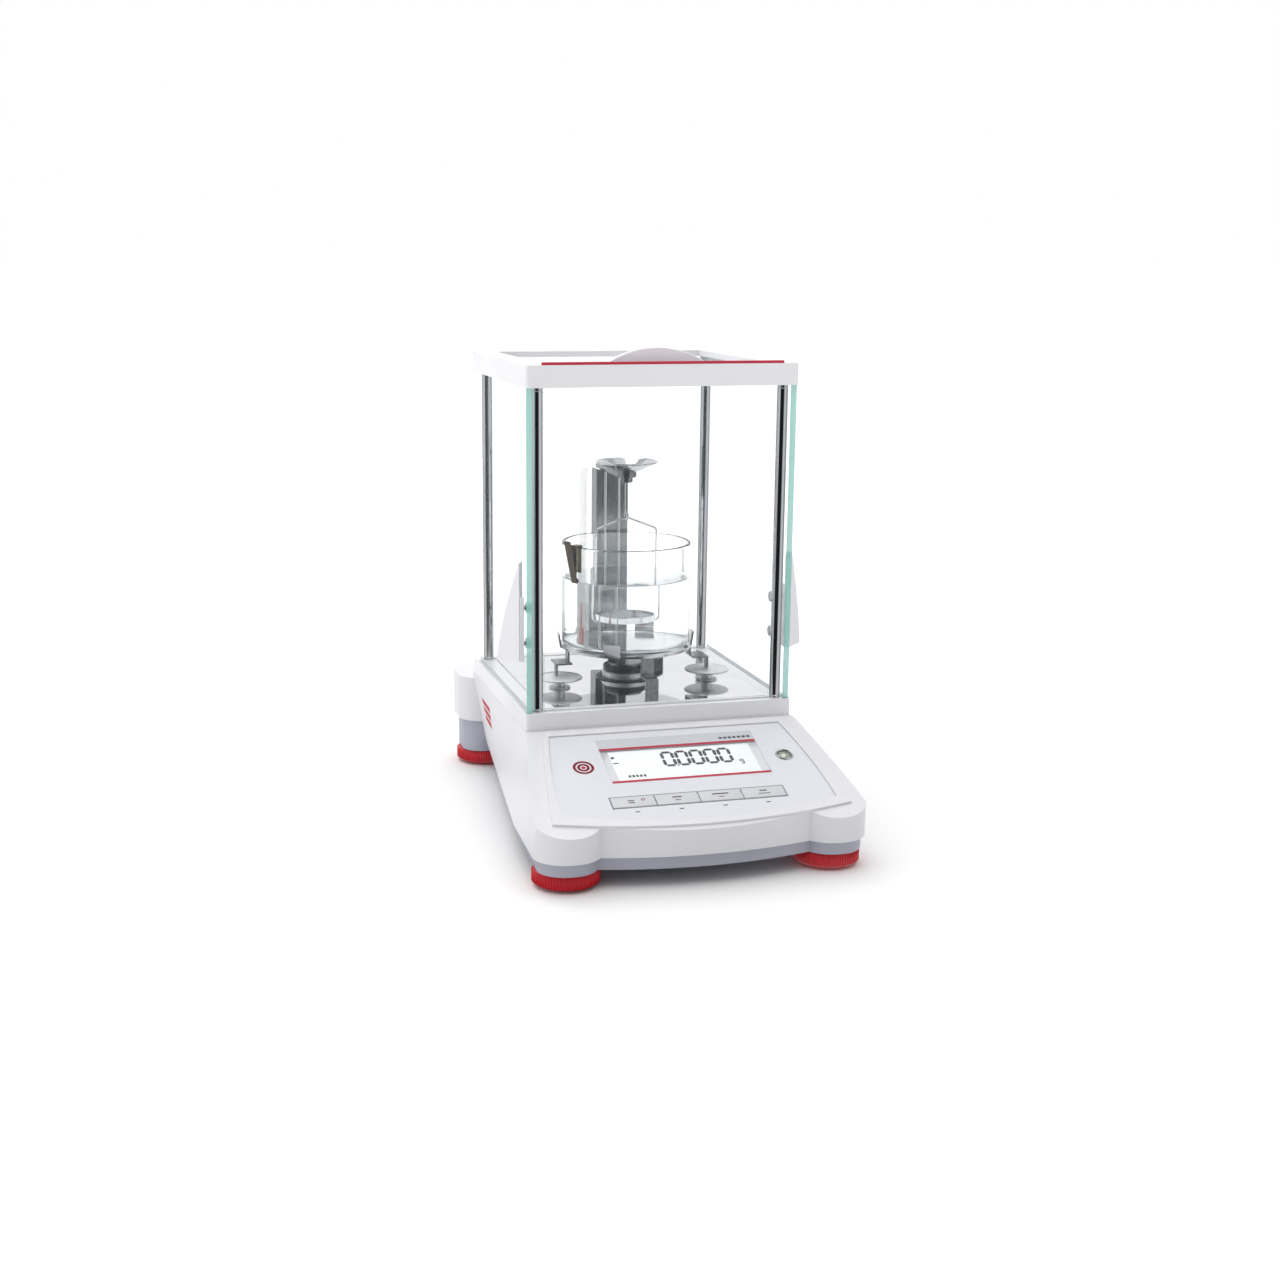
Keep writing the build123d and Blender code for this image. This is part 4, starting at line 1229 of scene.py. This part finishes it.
    def key(self, index: int, name: str) -> None:
        """Key cap with a rounded top, its stop flange and a printed sign."""
        x0 = self.key_start + index * self.key_pitch + 0.3
        x1 = x0 + self.key_pitch - 0.6
        s0, s1 = self.key_s
        cap = slab((x0, s0, -4.3), (x1, s1, 0.95), 0.45)
        flange = slab((x0, s0 - 1.2, -4.4), (x1, s1 + 1.2, -3.3), 0.15)
        body = from_form(f"cap_{name}", moved(join_forms([cap, flange]), on_panel()), [Surface.KEY])
        x, s = (x0 + x1) / 2, (s0 + s1) / 2
        signs = {
            "zero": [stroke(x - 3.4, s + way, x + 0.6, s + way, 0.8) for way in (1.0, -1.0)],
            "print": [bar(x - 3.0, s + 0.9, x + 3.0, s + 1.9), bar(x - 1.8, s - 1.7, x + 1.8, s - 1.1)],
            "function": [bar(x - 5.2, s + 0.9, x + 5.2, s + 1.9), bar(x - 1.8, s - 1.7, x + 1.8, s - 1.1)],
            "tare": [bar(x - 2.4, s + 0.9, x + 2.4, s + 1.9), bar(x - 3.8, s - 1.7, x + 3.8, s - 1.1)],
        }
        sign = printed(f"sign_{name}", signs[name], Surface.INK_DARK, 0.94, 0.05)
        pieces = [body, sign]
        if name == "zero":
            arcs = hoop(x + 6.2, s + 1.4, 1.2, 0.7, 24)
            pieces.append(printed("sign_power", arcs, Surface.INK_RED, 0.94, 0.05))
        self.bench.fit(merged(f"{name}_key", pieces), f"{name}_key", "key_grey", f"key_{name}")

    def spirit_level(self) -> None:
        """Level: metal cup with a turned lip, and a domed vial with its bubble and target ring."""
        x, s = self.level
        lip = [(5.6, -7), (5.6, 0.7), (5.2, 1.1), (4.9, 1.1), (4.5, 0.7), (4.5, -6), (0, -6), (0, -7)]
        cup = from_form("level_cup", moved(lathe(lip, (x, s), 56), on_panel()), [Surface.STEEL])
        self.bench.fit(cup, "case", "level_metal", "level_housing")
        body = [(0, -5.9), (4.4, -5.9), (4.4, -0.4), (4.0, 0.0), (2.5, 0.35), (0, 0.5)]
        vial = from_form("vial_body", moved(lathe(body, (x, s), 56), on_panel()), [Surface.VIAL])
        # The bubble takes the glowing display finish: a painted highlight.
        bubble = [(0, -1.1), (1.4, -1.0), (1.75, -0.5), (1.3, -0.1), (0, 0.05)]
        bubble_form = lathe(bubble, (x - 0.4, s + 0.3), 32)
        air = from_form("vial_bubble", moved(bubble_form, on_panel()), [Surface.CELL])
        ring = [(2.3, -0.45), (2.6, -0.45), (2.6, -0.2), (2.3, -0.2)]
        ring_form = lathe(ring, (x, s), 48, closed=True)
        target = from_form("vial_ring", moved(ring_form, on_panel()), [Surface.INK_DARK])
        self.bench.fit(merged("level_glass", [vial, air, target]), "case", "vial_glass", "level_vial")


# ---------------------------------------------------------------- chamber


def pane(name: str, low: Sequence[float], high: Sequence[float]) -> Piece:
    """Glass pane with clear faces; a side door's front edge is bare, and shows the glass's own colour.

    Args:
        name: the piece's name.
        low: lowest corner, in millimetres.
        high: highest corner, in millimetres.

    Returns:
        The pane.
    """
    form = slab(low, high, 0.45, 2)
    sizes = [b - a for a, b in zip(low, high)]
    thin = sizes.index(min(sizes))
    piece = from_form(name, form, [Surface.PANE, Surface.PANE_EDGE, Surface.PANE_RIM])
    for face in piece.data.polygons:
        if abs(face.normal[thin]) < 0.95:
            face.material_index = 1 if thin == 0 and face.normal.y < -0.1 else 2
    return piece


@dataclass
class Chamber:
    """Glass weighing chamber: frames, posts, panes, steel floor and the three sliding doors."""

    bench: Bench
    frame_round: float = 1.0

    def build(self) -> None:
        """Builds every piece of the chamber."""
        for node in ("lower_frame", "top_frame"):
            piece = self.bench.softened_copy(node, Surface.FRAME, self.frame_round)
            self.bench.fit(piece, "case", "frame_white", node)
        self.posts()
        self.stripe()
        self.floor()
        for node in ("front_glass", "rear_glass"):
            low, high = self.bench.box(node)
            self.bench.fit(pane(f"{node}_pane", low, high), "case", "chamber_glass", node)
        for side in ("left", "right"):
            self.side_door(side)
        self.lid()

    def posts(self) -> None:
        """Drawn chrome posts with a turned collar at each end."""
        low, high = self.bench.box("corner_posts")
        radius = 3.5
        shoulder = ((radius, 83.2), (radius, 84.6), (radius - 0.25, 84.9), (radius - 0.25, 85.4), (radius, 85.7))
        top = ((radius, 283.6), (radius - 0.25, 283.9), (radius - 0.25, 284.4), (radius, 284.7))
        ends = ((0, high.z), (radius - 0.5, high.z), (radius, high.z - 0.5))
        profile = [(0, low.z), (radius - 0.5, low.z), (radius, low.z + 0.5), *shoulder, *top, *reversed(ends)]
        forms = []
        for x in (low.x + radius, high.x - radius):
            for y in (low.y + radius, high.y - radius):
                forms.append(lathe(profile, (x, y), 48))
        piece = from_form("chrome_posts", join_forms(forms), [Surface.POST])
        self.bench.fit(piece, "case", "post_chrome", "corner_posts")

    def stripe(self) -> None:
        """Red strip that stands along the front edge of the top frame."""
        low, high = self.bench.box("top_stripe")
        piece = from_form("red_strip", slab(low, high, 0.3), [Surface.INK_RED])
        self.bench.fit(piece, "case", "stripe_red", "top_stripe")

    def floor(self) -> None:
        """Polished floor sheet with a round opening, and the collar in it."""
        sheet = self.bench.softened_copy("chamber_floor", Surface.FLOOR, 0.3)
        self.bench.fit(sheet, "case", "mirror_steel", "chamber_floor")
        low, high = self.bench.box("floor_collar")
        x, y = (low.x + high.x) / 2, (low.y + high.y) / 2
        sleeve = [(16.2, low.z), (17.3, low.z), (17.3, 83.4), (20, 83.4), (20, 83.8)]
        lip = [(19.7, high.z), (16.6, high.z), (16.2, 83.7)]
        piece = from_form("floor_ring", lathe(sleeve + lip, (x, y), closed=True), [Surface.COLLAR])
        self.bench.fit(piece, "case", "seal_black", "floor_collar")

    def side_door(self, side: str) -> None:
        """Sliding side pane with its handle outside and two round nuts inside."""
        body = f"{side}_door"
        low, high = self.bench.box(f"{side}_door_glass")
        self.bench.fit(pane(f"{side}_door_pane", low, high), body, "chamber_glass", f"{side}_door_glass")
        handle = self.bench.softened_copy(f"{side}_door_handle", Surface.HANDLE, 0.8)
        self.bench.fit(handle, body, "handle_white", f"{side}_door_handle")
        low, high = self.bench.box(f"{side}_door_fixings")
        sign = 1 if side == "right" else -1
        inner, outer = (low.x, high.x) if sign > 0 else (high.x, low.x)
        y = (low.y + high.y) / 2
        forms = []
        for z in (low.z + 3.6, high.z - 3.6):
            shaft = abs(outer - inner)
            nut = [(0, 0), (2.6, 0), (3.3, 0.3), (3.6, 0.9), (3.6, 2.8), (3.3, 3.4)]
            profile = [*nut, (1.6, 3.4), (1.6, shaft), (0, shaft)]
            turn = Matrix.Translation((inner, y, z)) @ Matrix.Rotation(math.radians(90 * sign), 4, "Y")
            forms.append(moved(lathe(profile, steps=36), turn))
        nuts = from_form(f"{side}_door_nuts", join_forms(forms), [Surface.SCREW])
        self.bench.fit(nuts, body, "screw_steel", f"{side}_door_fixings")

    def lid(self) -> None:
        """Sliding lid with its low arched handle."""
        low, high = self.bench.box("top_door_glass")
        self.bench.fit(pane("lid_pane", low, high), "top_door", "chamber_glass", "top_door_glass")
        handle = self.bench.softened_copy("top_door_handle", Surface.HANDLE, 0.8)
        self.bench.fit(handle, "top_door", "handle_white", "top_door_handle")


# ---------------------------------------------------------------- weighing system

AXIS = (0.0, 28.2)


@dataclass
class WeighingBracket:
    """Hub, column, arm, dish and hook: the pieces that the cell weighs."""

    bench: Bench
    body: str = "weighing_bracket"
    column_front: float = 73.4
    bead_low: float = 95.0
    arm_low: float = 220.0
    arm_half: float = 6.0

    def build(self) -> None:
        """Builds every piece of the bracket."""
        self.hub()
        self.column()
        self.arm()
        self.dish()
        self.hook()
        self.bench.dress("hanger_post", Surface.ALUMINIUM)

    def hub(self) -> None:
        """Turned hub: black low down as painted shade in the floor opening, a band of near-white steel as a
        painted sheen, and the black cushion on it.
        """
        r = 15.7
        low = [(4, 79), (8, 79), (8, 81), (11, 81), (11, 79), (r - 0.4, 79), (r, 79.4), (r, 83.4)]
        band = [(r - 0.6, 83.8), (r - 0.6, 84.2), (r, 84.6), (r, 87.6), (r - 0.7, 88.3)]
        bore = [(0, 88.3), (0, 82), (4, 82)]
        turned = lathe(low + band + bore, AXIS, closed=True)
        hub = from_form("hub_turned", turned, [Surface.COLLAR, Surface.BEAD])
        # Faces above 84 mm take the near-white steel as painted sheen; the faces below keep the black as painted
        # shade.
        for face in hub.data.polygons:
            if face.center.z / MM > 84.0:
                face.material_index = 1
        self.bench.fit(hub, self.body, "kit_steel", "bracket_hub")
        edge = [(0, 88.3), (14.6, 88.3), (15, 88.7), (15, 91.6), (14.4, 92.2), (0, 92.2)]
        cushion = from_form("hub_pad", lathe(edge, AXIS), [Surface.COLLAR])
        self.bench.fit(cushion, self.body, "seal_black", "hub_cushion")

    def column(self) -> None:
        """Folded channel, with its two pressed beads painted near white: a painted highlight where they catch
        the light.
        """
        column = self.bench.softened_copy("bracket_column", Surface.COLUMN, 0.25)
        # Front faces of the beads take the near-white steel: painted highlight.
        column.data.materials.append(Surface.BEAD.material())
        for face in column.data.polygons:
            middle = face.center / MM
            if middle.y < self.column_front - 0.01 and middle.z > self.bead_low:
                face.material_index = 1
        self.bench.fit(column, self.body, "kit_dark_steel", "bracket_column")

    def arm(self) -> None:
        """Flat arm, and the stepped boss that carries the dish and the hook rod."""
        low, high = self.bench.box("bracket_top_arm")
        half, z = self.arm_half, self.arm_low
        bar_form = slab((-half, AXIS[1], z), (half, high.y, z + 3.0), 0.5)
        under = [(0, low.z), (3.4, low.z), (4.0, low.z + 0.5), (4.0, z - 0.4), (5.9, z)]
        over = [(6.5, z + 0.5), (6.5, high.z), (0, high.z)]
        boss = lathe(under + over, AXIS, 56)
        piece = from_form("arm_and_boss", join_forms([bar_form, boss]), [Surface.COLUMN])
        self.bench.fit(piece, self.body, "kit_steel", "bracket_top_arm")

    def dish(self) -> None:
        """Shallow pan with a rolled rim."""
        under = [(0, 224), (7.4, 224), (8.2, 224.3), (14, 227.0), (19.8, 229.6), (20.6, 230.1)]
        rim = [(20.9, 230.5), (20.8, 230.9), (20.5, 231), (20.1, 230.8)]
        over = [(19.6, 230.5), (14, 227.9), (8, 225.2), (7, 225), (0, 225)]
        dish = from_form("weight_dish", lathe(under + rim + over, AXIS), [Surface.STEEL])
        self.bench.fit(dish, self.body, "kit_steel", "upper_dish")

    def hook(self) -> None:
        """Rod with a nut at the top and the eye at its end."""
        low, high = self.bench.box("hook_rod")
        rod = [(0, high.z), (1.2, high.z), (1.2, low.z + 8), (1.0, low.z + 6.2), (0, low.z + 6.0)]
        eye = bmesh.new()
        major, minor = 2.7, 0.8
        middle, across = Vector((*AXIS, low.z + major + minor)), Vector((1, 0, 0))
        rings = []
        for a in around(40):
            out = Vector((0, math.cos(a), math.sin(a)))
            spokes = [out * math.cos(b) + across * math.sin(b) for b in around(14)]
            rings.append([eye.verts.new(middle + out * major + spoke * minor) for spoke in spokes])
        for first, second in zip(rings, rings[1:] + rings[:1]):
            skin(eye, first, second)
        piece = from_form("hook_and_eye", join_forms([lathe(rod, AXIS, 24), eye]), [Surface.STEEL])
        self.bench.fit(piece, self.body, "kit_steel", "hook_rod")


@dataclass
class SampleHolder:
    """Wire bail and perforated dish that hang in the liquid."""

    bench: Bench
    wire_radius: float = 0.7

    def build(self) -> None:
        """Builds the holder."""
        corners = [(-10, 123), (-21, 123), (-21, 185), (0, 193.25), (21, 185), (21, 123), (10, 123)]
        path = [(x, AXIS[1], z) for x, z in corners]
        bail = from_form("wire_bail", wire(path, self.wire_radius, 3.0), [Surface.STEEL])
        self.bench.fit(bail, "sample_holder", "kit_steel", "holder_frame")
        dish = self.bench.softened_copy("holder_dish", Surface.STEEL, 0.12)
        self.bench.fit(dish, "sample_holder", "kit_steel", "holder_dish")


@dataclass
class Internals:
    """Weighing cell inside the case."""

    bench: Bench

    def build(self) -> None:
        """Dresses the cell's own solids."""
        for node, surface in (
            ("load_cell_block", Surface.ALUMINIUM),
            ("lever_beam", Surface.ALUMINIUM),
            ("magnet_pot", Surface.IRON),
            ("force_coil", Surface.COPPER),
        ):
            self.bench.dress(node, surface)


# ---------------------------------------------------------------- density kit

FINE_TURN = (0, 0.26, 0.52, 0.79, 1.05, 1.31, math.pi / 2)
COARSE_TURN = (0, 0.39, 0.79, 1.18, math.pi / 2)


@dataclass
class DensityKit:
    """Platform on legs, side discs, beaker with water, and the thermometer in its clip."""

    bench: Bench
    beaker_radius: float = 43.4
    beaker_low: float = 106.8
    beaker_top: float = 177.0
    wall: float = 2.0
    water_top: float = 152.8
    tube: tuple[float, float] = (-34.0, 12.2)

    def build(self) -> None:
        plate_piece = self.bench.softened_copy("stand_platform", Surface.STEEL, 0.35)
        self.bench.fit(plate_piece, "case", "kit_steel", "stand_platform")
        # Legs in the darker steel: painted shade under the platform.
        legs = self.bench.softened_copy("stand_legs", Surface.DARK_STRIP, 0.3)
        self.bench.fit(legs, "case", "kit_steel", "stand_legs")
        self.discs()
        self.beaker()
        self.water()
        self.thermometer()
        self.clip()

    def discs(self) -> None:
        """Turned discs with a raised rim, on stems, in near-white steel: a painted sheen where their tops catch
        the light.
        """
        forms = []
        for x in (-51.4, 51.4):
            foot = [(0, 83.4), (6.6, 83.4), (7, 83.8), (7, 84.3), (6.6, 84.6), (3.9, 84.6)]
            stem = [(3.5, 85.0), (3.5, 89.8)]
            top = [(14.4, 89.8), (15, 90.3), (15, 90.9), (14.7, 91.2), (13.9, 91.2), (13.6, 90.9), (0, 90.9)]
            forms.append(lathe(foot + stem + top, (x, 6.3)))
        # Whole discs in the near-white steel: painted sheen.
        piece = from_form("side_discs", join_forms(forms), [Surface.BEAD])
        self.bench.fit(piece, "case", "kit_steel", "stand_discs")

    def heel(self, radius: float, low: float, bend: float, turns: Sequence[float]) -> Points:
        """Rounded corner between a floor at a height and a wall at a radius."""
        return [(radius - bend + bend * math.sin(t), low + bend - bend * math.cos(t)) for t in turns]

    def beaker(self) -> None:
        """Beaker with a rounded heel and a fire-polished rim."""
        r, low, top, wall = self.beaker_radius, self.beaker_low, self.beaker_top, self.wall
        rim = [(r, top - 1.0), (r - 0.3, top - 0.3), (r - 1.0, top)]
        rim += [(r - wall + 0.3, top - 0.3), (r - wall, top - 1.0)]
        inside = self.heel(r - wall, low + wall, 3, COARSE_TURN)[::-1]
        profile = [(0, low), *self.heel(r, low, 4, FINE_TURN), *rim, *inside, (0, low + wall)]
        piece = from_form("beaker_glass", lathe(profile, AXIS, 128), [Surface.LAB_GLASS])
        self.bench.fit(piece, "case", "lab_glass", "beaker")

    def water(self) -> None:
        """Water with a meniscus at the wall."""
        r, low = self.beaker_radius - self.wall + 0.08, self.beaker_low + self.wall - 0.08
        top = self.water_top
        heel = self.heel(r, low, 3, COARSE_TURN)
        surface = [(r, top + 1.2), (r - 0.5, top + 0.5), (r - 1.4, top + 0.1), (r - 3, top), (0, top)]
        turned = lathe([(0, low), *heel, *surface], AXIS, 128)
        piece = from_form("beaker_water", turned, [Surface.WATER])
        self.bench.fit(piece, "case", "lab_glass")

    def thermometer(self) -> None:
        """Glass stem with scale lines, and the red column and bulb inside it."""
        low, high = self.bench.box("thermometer_tube")
        r = 2.7
        tip = [(0, low.z), (1.4, low.z + 0.2), (2.3, low.z + 0.9), (r, low.z + 2)]
        profile = [*tip, (r, high.z - 1), (r - 0.8, high.z), (0, high.z)]
        stem = from_form("thermometer_stem", lathe(profile, self.tube, 32), [Surface.STEM])
        mark_form = slab((0, -0.02, -0.12), (1.0, 0.02, 0.12), 0.01, 1)
        mark = from_form("scale_pattern", mark_form, [Surface.INK_DARK])
        inputs = {
            "Piece": mark,
            "Count": 34,
            "Start": ((self.tube[0] - 0.2) * MM, (self.tube[1] - r + 0.03) * MM, (low.z + 44) * MM),
            "Step": (0.0, 0.0, 2.0 * MM),
            "Material": Surface.INK_DARK.material(),
        }
        scale = grown("thermometer_scale", Repeat.ROW, inputs)
        bpy.data.objects.remove(mark)
        self.bench.fit(merged("thermometer_glass", [stem, scale]), "case", "lab_glass", "thermometer_tube")
        low, high = self.bench.box("thermometer_column")
        heights = ((0, 0), (1.2, 0.3), (1.7, 1.2), (1.7, 10), (1.1, 11.4), (0.6, 12))
        bulb = [(radius, low.z + rise) for radius, rise in heights]
        turned = lathe([*bulb, (0.6, high.z - 0.3), (0, high.z)], self.tube, 24)
        column = from_form("spirit_column", turned, [Surface.SPIRIT])
        self.bench.fit(column, "case", "spirit_red", "thermometer_column")

    def clip(self) -> None:
        """Folded spring clip over the beaker's rim."""
        piece = self.bench.softened_copy("thermometer_clip", Surface.CLIP, 0.15)
        piece.data.materials.append(Surface.CLIP_LEAF.material())
        for face in piece.data.polygons:
            reach = math.dist(AXIS, (face.center.x / MM, face.center.y / MM))
            if reach < self.beaker_radius:
                face.material_index = 1
        self.bench.fit(piece, "case", "clip_brown", "thermometer_clip")


# ---------------------------------------------------------------- studio


@dataclass
class Studio:
    """Floor, light and camera."""

    place: tuple[float, float, float] = (-0.3234, -1.0954, 0.3637)
    yaw: float = 0.267
    pitch: float = -0.208
    roll: float = 0.007
    lens: float = 49.405
    shift: tuple[float, float] = (0.02926, -0.00948)
    lamps: tuple = (
        ("top", (-0.3, 0.9, 1.6), (0, 0, 0.05), (1.2, 1.2), 7.0),
        ("over", (0.0, -0.35, 1.7), (0, -0.05, 0.05), (1.4, 1.0), 6.5),
        ("left", (-1.5, -0.4, 0.6), (0, 0, 0.15), (0.9, 1.2), 1.0),
    )
    floor_glow: tuple = ((0.15, 0.0), (0.6, 0.45))
    bounces: int = 24
    fill: float = 0.42
    fill_lean: tuple[float, float, float] = (-0.14, 0.5, 0.72)
    least_fill: float = 0.05
    flag_stops: tuple = (
        (0.0, 0.02),
        (0.16, 0.02),
        (0.19, 0.6),
        (0.27, 1.0),
        (0.36, 1.0),
        (0.39, 0.1),
        (0.42, 1.0),
        (0.66, 1.0),
        (0.72, 0.25),
        (0.8, 1.0),
        (0.93, 0.9),
        (0.97, 0.02),
    )

    def build(self) -> None:
        """Builds the whole studio."""
        self.floor()
        self.world()
        for name, place, target, size, power in self.lamps:
            self.lamp(name, Vector(place), Vector(target), size, power)
        self.camera()
        scene = bpy.context.scene
        scene.view_settings.view_transform = "Standard"
        scene.cycles.max_bounces = self.bounces
        scene.cycles.glossy_bounces = self.bounces // 2
        scene.cycles.transmission_bounces = self.bounces
        scene.cycles.transparent_max_bounces = self.bounces

    def flags(self, tree: Tree, x: Any, y: Any) -> Any:
        """Brightness that reflections see in each direction round the balance.

        Args:
            tree: the tree of the world or of the table.
            x: output socket of the direction's X part.
            y: output socket of its Y part.

        Returns:
            Output socket of a grey colour.
        """
        angle = add_node(tree, "ShaderNodeMath", {0: x, 1: y}, operation="ARCTAN2")
        turn = add_node(
            tree, "ShaderNodeMapRange", {"Value": angle.outputs[0], "From Min": -math.pi, "From Max": math.pi}
        )
        ramp = add_node(tree, "ShaderNodeValToRGB", {"Fac": turn.outputs["Result"]})
        band = ramp.color_ramp
        while len(band.elements) < len(self.flag_stops):
            band.elements.new(0.5)
        for element, (at, level) in zip(band.elements, self.flag_stops):
            element.position = at
            element.color = (level, level, level, 1)
        return ramp.outputs["Color"]

    def first_glossy(self, tree: Tree) -> Any:
        """Output socket that is 1 for reflections not seen through clear solids."""
        rays = add_node(tree, "ShaderNodeLightPath")
        through = {0: rays.outputs["Transmission Depth"], 1: 0.5}
        outside = add_node(tree, "ShaderNodeMath", through, operation="LESS_THAN")
        both = {0: rays.outputs["Is Glossy Ray"], 1: outside.outputs[0]}
        return add_node(tree, "ShaderNodeMath", both, operation="MULTIPLY").outputs[0]

    def floor(self) -> None:
        """Plain white table that runs to the horizon, with dark flags that only reflections see."""
        form = bmesh.new()
        bmesh.ops.create_grid(form, x_segments=1, y_segments=1, size=60.0)
        mesh = bpy.data.meshes.new("table")
        form.to_mesh(mesh)
        form.free()
        material = bpy.data.materials.new("table_white_matt")
        material.use_nodes = True
        tree = material.node_tree
        tree.nodes.clear()
        sockets = {
            "Base Color": linear("#EFEFEF"),
            "Roughness": 0.7,
            "Specular IOR Level": 0.0,
            "Emission Color": (1, 1, 1, 1),
        }
        place = add_node(tree, "ShaderNodeTexCoord").outputs["Object"]
        away = add_node(tree, "ShaderNodeVectorMath", {0: place}, operation="LENGTH").outputs["Value"]
        (near, near_glow), (far, far_glow) = self.floor_glow
        reach = {"Value": away, "From Min": near, "From Max": far, "To Min": near_glow, "To Max": far_glow}
        sockets["Emission Strength"] = add_node(tree, "ShaderNodeMapRange", reach).outputs["Result"]
        white = add_node(tree, "ShaderNodeBsdfPrincipled", sockets)
        parts = add_node(tree, "ShaderNodeSeparateXYZ", {"Vector": place})
        color = self.flags(tree, parts.outputs["X"], parts.outputs["Y"])
        flag = add_node(tree, "ShaderNodeEmission", {"Color": color})
        mixed = {0: self.first_glossy(tree), 1: white.outputs["BSDF"], 2: flag.outputs["Emission"]}
        shader = add_node(tree, "ShaderNodeMixShader", mixed)
        add_node(tree, "ShaderNodeOutputMaterial", {"Surface": shader.outputs["Shader"]})
        mesh.materials.append(material)
        table = bpy.data.objects.new("table", mesh)
        bpy.context.scene.collection.objects.link(table)
        table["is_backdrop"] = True

    def world(self) -> None:
        """Surroundings brightest above and behind, darker in front, with the same flags in reflections."""
        world = bpy.data.worlds.new("studio")
        bpy.context.scene.world = world
        world.use_nodes = True
        tree = world.node_tree
        tree.nodes.clear()
        place = add_node(tree, "ShaderNodeTexCoord").outputs["Generated"]
        parts = add_node(tree, "ShaderNodeSeparateXYZ", {"Vector": place})
        lean = add_node(tree, "ShaderNodeVectorMath", {0: place, 1: self.fill_lean}, operation="DOT_PRODUCT")
        raised = {0: lean.outputs["Value"], 1: self.fill}
        level = add_node(tree, "ShaderNodeMath", raised, operation="ADD").outputs[0]
        kept = {0: level, 1: self.least_fill}
        level = add_node(tree, "ShaderNodeMath", kept, operation="MAXIMUM").outputs[0]
        fill = add_node(tree, "ShaderNodeCombineColor", {"Red": level, "Green": level, "Blue": level})
        color = self.flags(tree, parts.outputs["X"], parts.outputs["Y"])
        lit = {0: self.first_glossy(tree), 6: fill.outputs[0], 7: color}
        surround = add_node(tree, "ShaderNodeMix", lit, data_type="RGBA")
        rays = add_node(tree, "ShaderNodeLightPath")
        clear = {0: rays.outputs["Is Camera Ray"], 1: rays.outputs["Transmission Depth"]}
        plain = add_node(tree, "ShaderNodeMath", clear, operation="MAXIMUM", use_clamp=True)
        seen = {0: plain.outputs[0], 6: surround.outputs[2], 7: (1, 1, 1, 1)}
        color = add_node(tree, "ShaderNodeMix", seen, data_type="RGBA").outputs[2]
        light = add_node(tree, "ShaderNodeBackground", {"Color": color, "Strength": 1.0})
        add_node(tree, "ShaderNodeOutputWorld", {"Surface": light.outputs["Background"]})

    def lamp(self, name: str, place: Vector, target: Vector, size: tuple[float, float], power: float) -> None:
        """Soft rectangular lamp, aimed at a point."""
        data = bpy.data.lights.new(name, "AREA")
        data.shape = "RECTANGLE"
        data.size, data.size_y = size
        data.energy = power
        lamp = bpy.data.objects.new(f"lamp_{name}", data)
        lamp.location = place
        lamp.rotation_euler = (target - place).to_track_quat("-Z", "Y").to_euler()
        bpy.context.scene.collection.objects.link(lamp)
        lamp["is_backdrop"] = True

    def camera(self) -> None:
        """Camera a little above the balance, turned to its left front."""
        level = Vector((math.sin(self.yaw), math.cos(self.yaw), 0))
        forward = level * math.cos(self.pitch) + Vector((0, 0, math.sin(self.pitch)))
        right = Vector((math.cos(self.yaw), -math.sin(self.yaw), 0))
        up = right.cross(forward)
        across = right * math.cos(self.roll) + up * math.sin(self.roll)
        upward = up * math.cos(self.roll) - right * math.sin(self.roll)
        data = bpy.data.cameras.new("camera")
        data.lens = self.lens
        data.sensor_width = 36.0
        data.shift_x, data.shift_y = self.shift
        data.clip_end = 200.0
        camera = bpy.data.objects.new("camera", data)
        matrix = Matrix((across, upward, -forward)).transposed().to_4x4()
        matrix.translation = Vector(self.place)
        camera.matrix_world = matrix
        bpy.context.scene.collection.objects.link(camera)
        bpy.context.scene.camera = camera


def corners(bounds: Any) -> list[list[float]]:
    """Box corners as plain lists."""
    return [[float(v) for v in corner] for corner in bounds]


def main() -> None:
    """Builds the balance on its frame."""
    logging.basicConfig(level=logging.INFO, format="%(name)s: %(message)s")
    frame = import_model()
    before = corners(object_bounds())
    bench = Bench(frame)
    parts = (Case, LevellingFeet, Panel, Chamber, WeighingBracket, SampleHolder, Internals, DensityKit)
    for part in parts:
        part(bench).build()
    Studio().build()
    after = corners(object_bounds())
    LOG.info("%d pieces", bench.count)


if __name__ == "__main__":
    main()
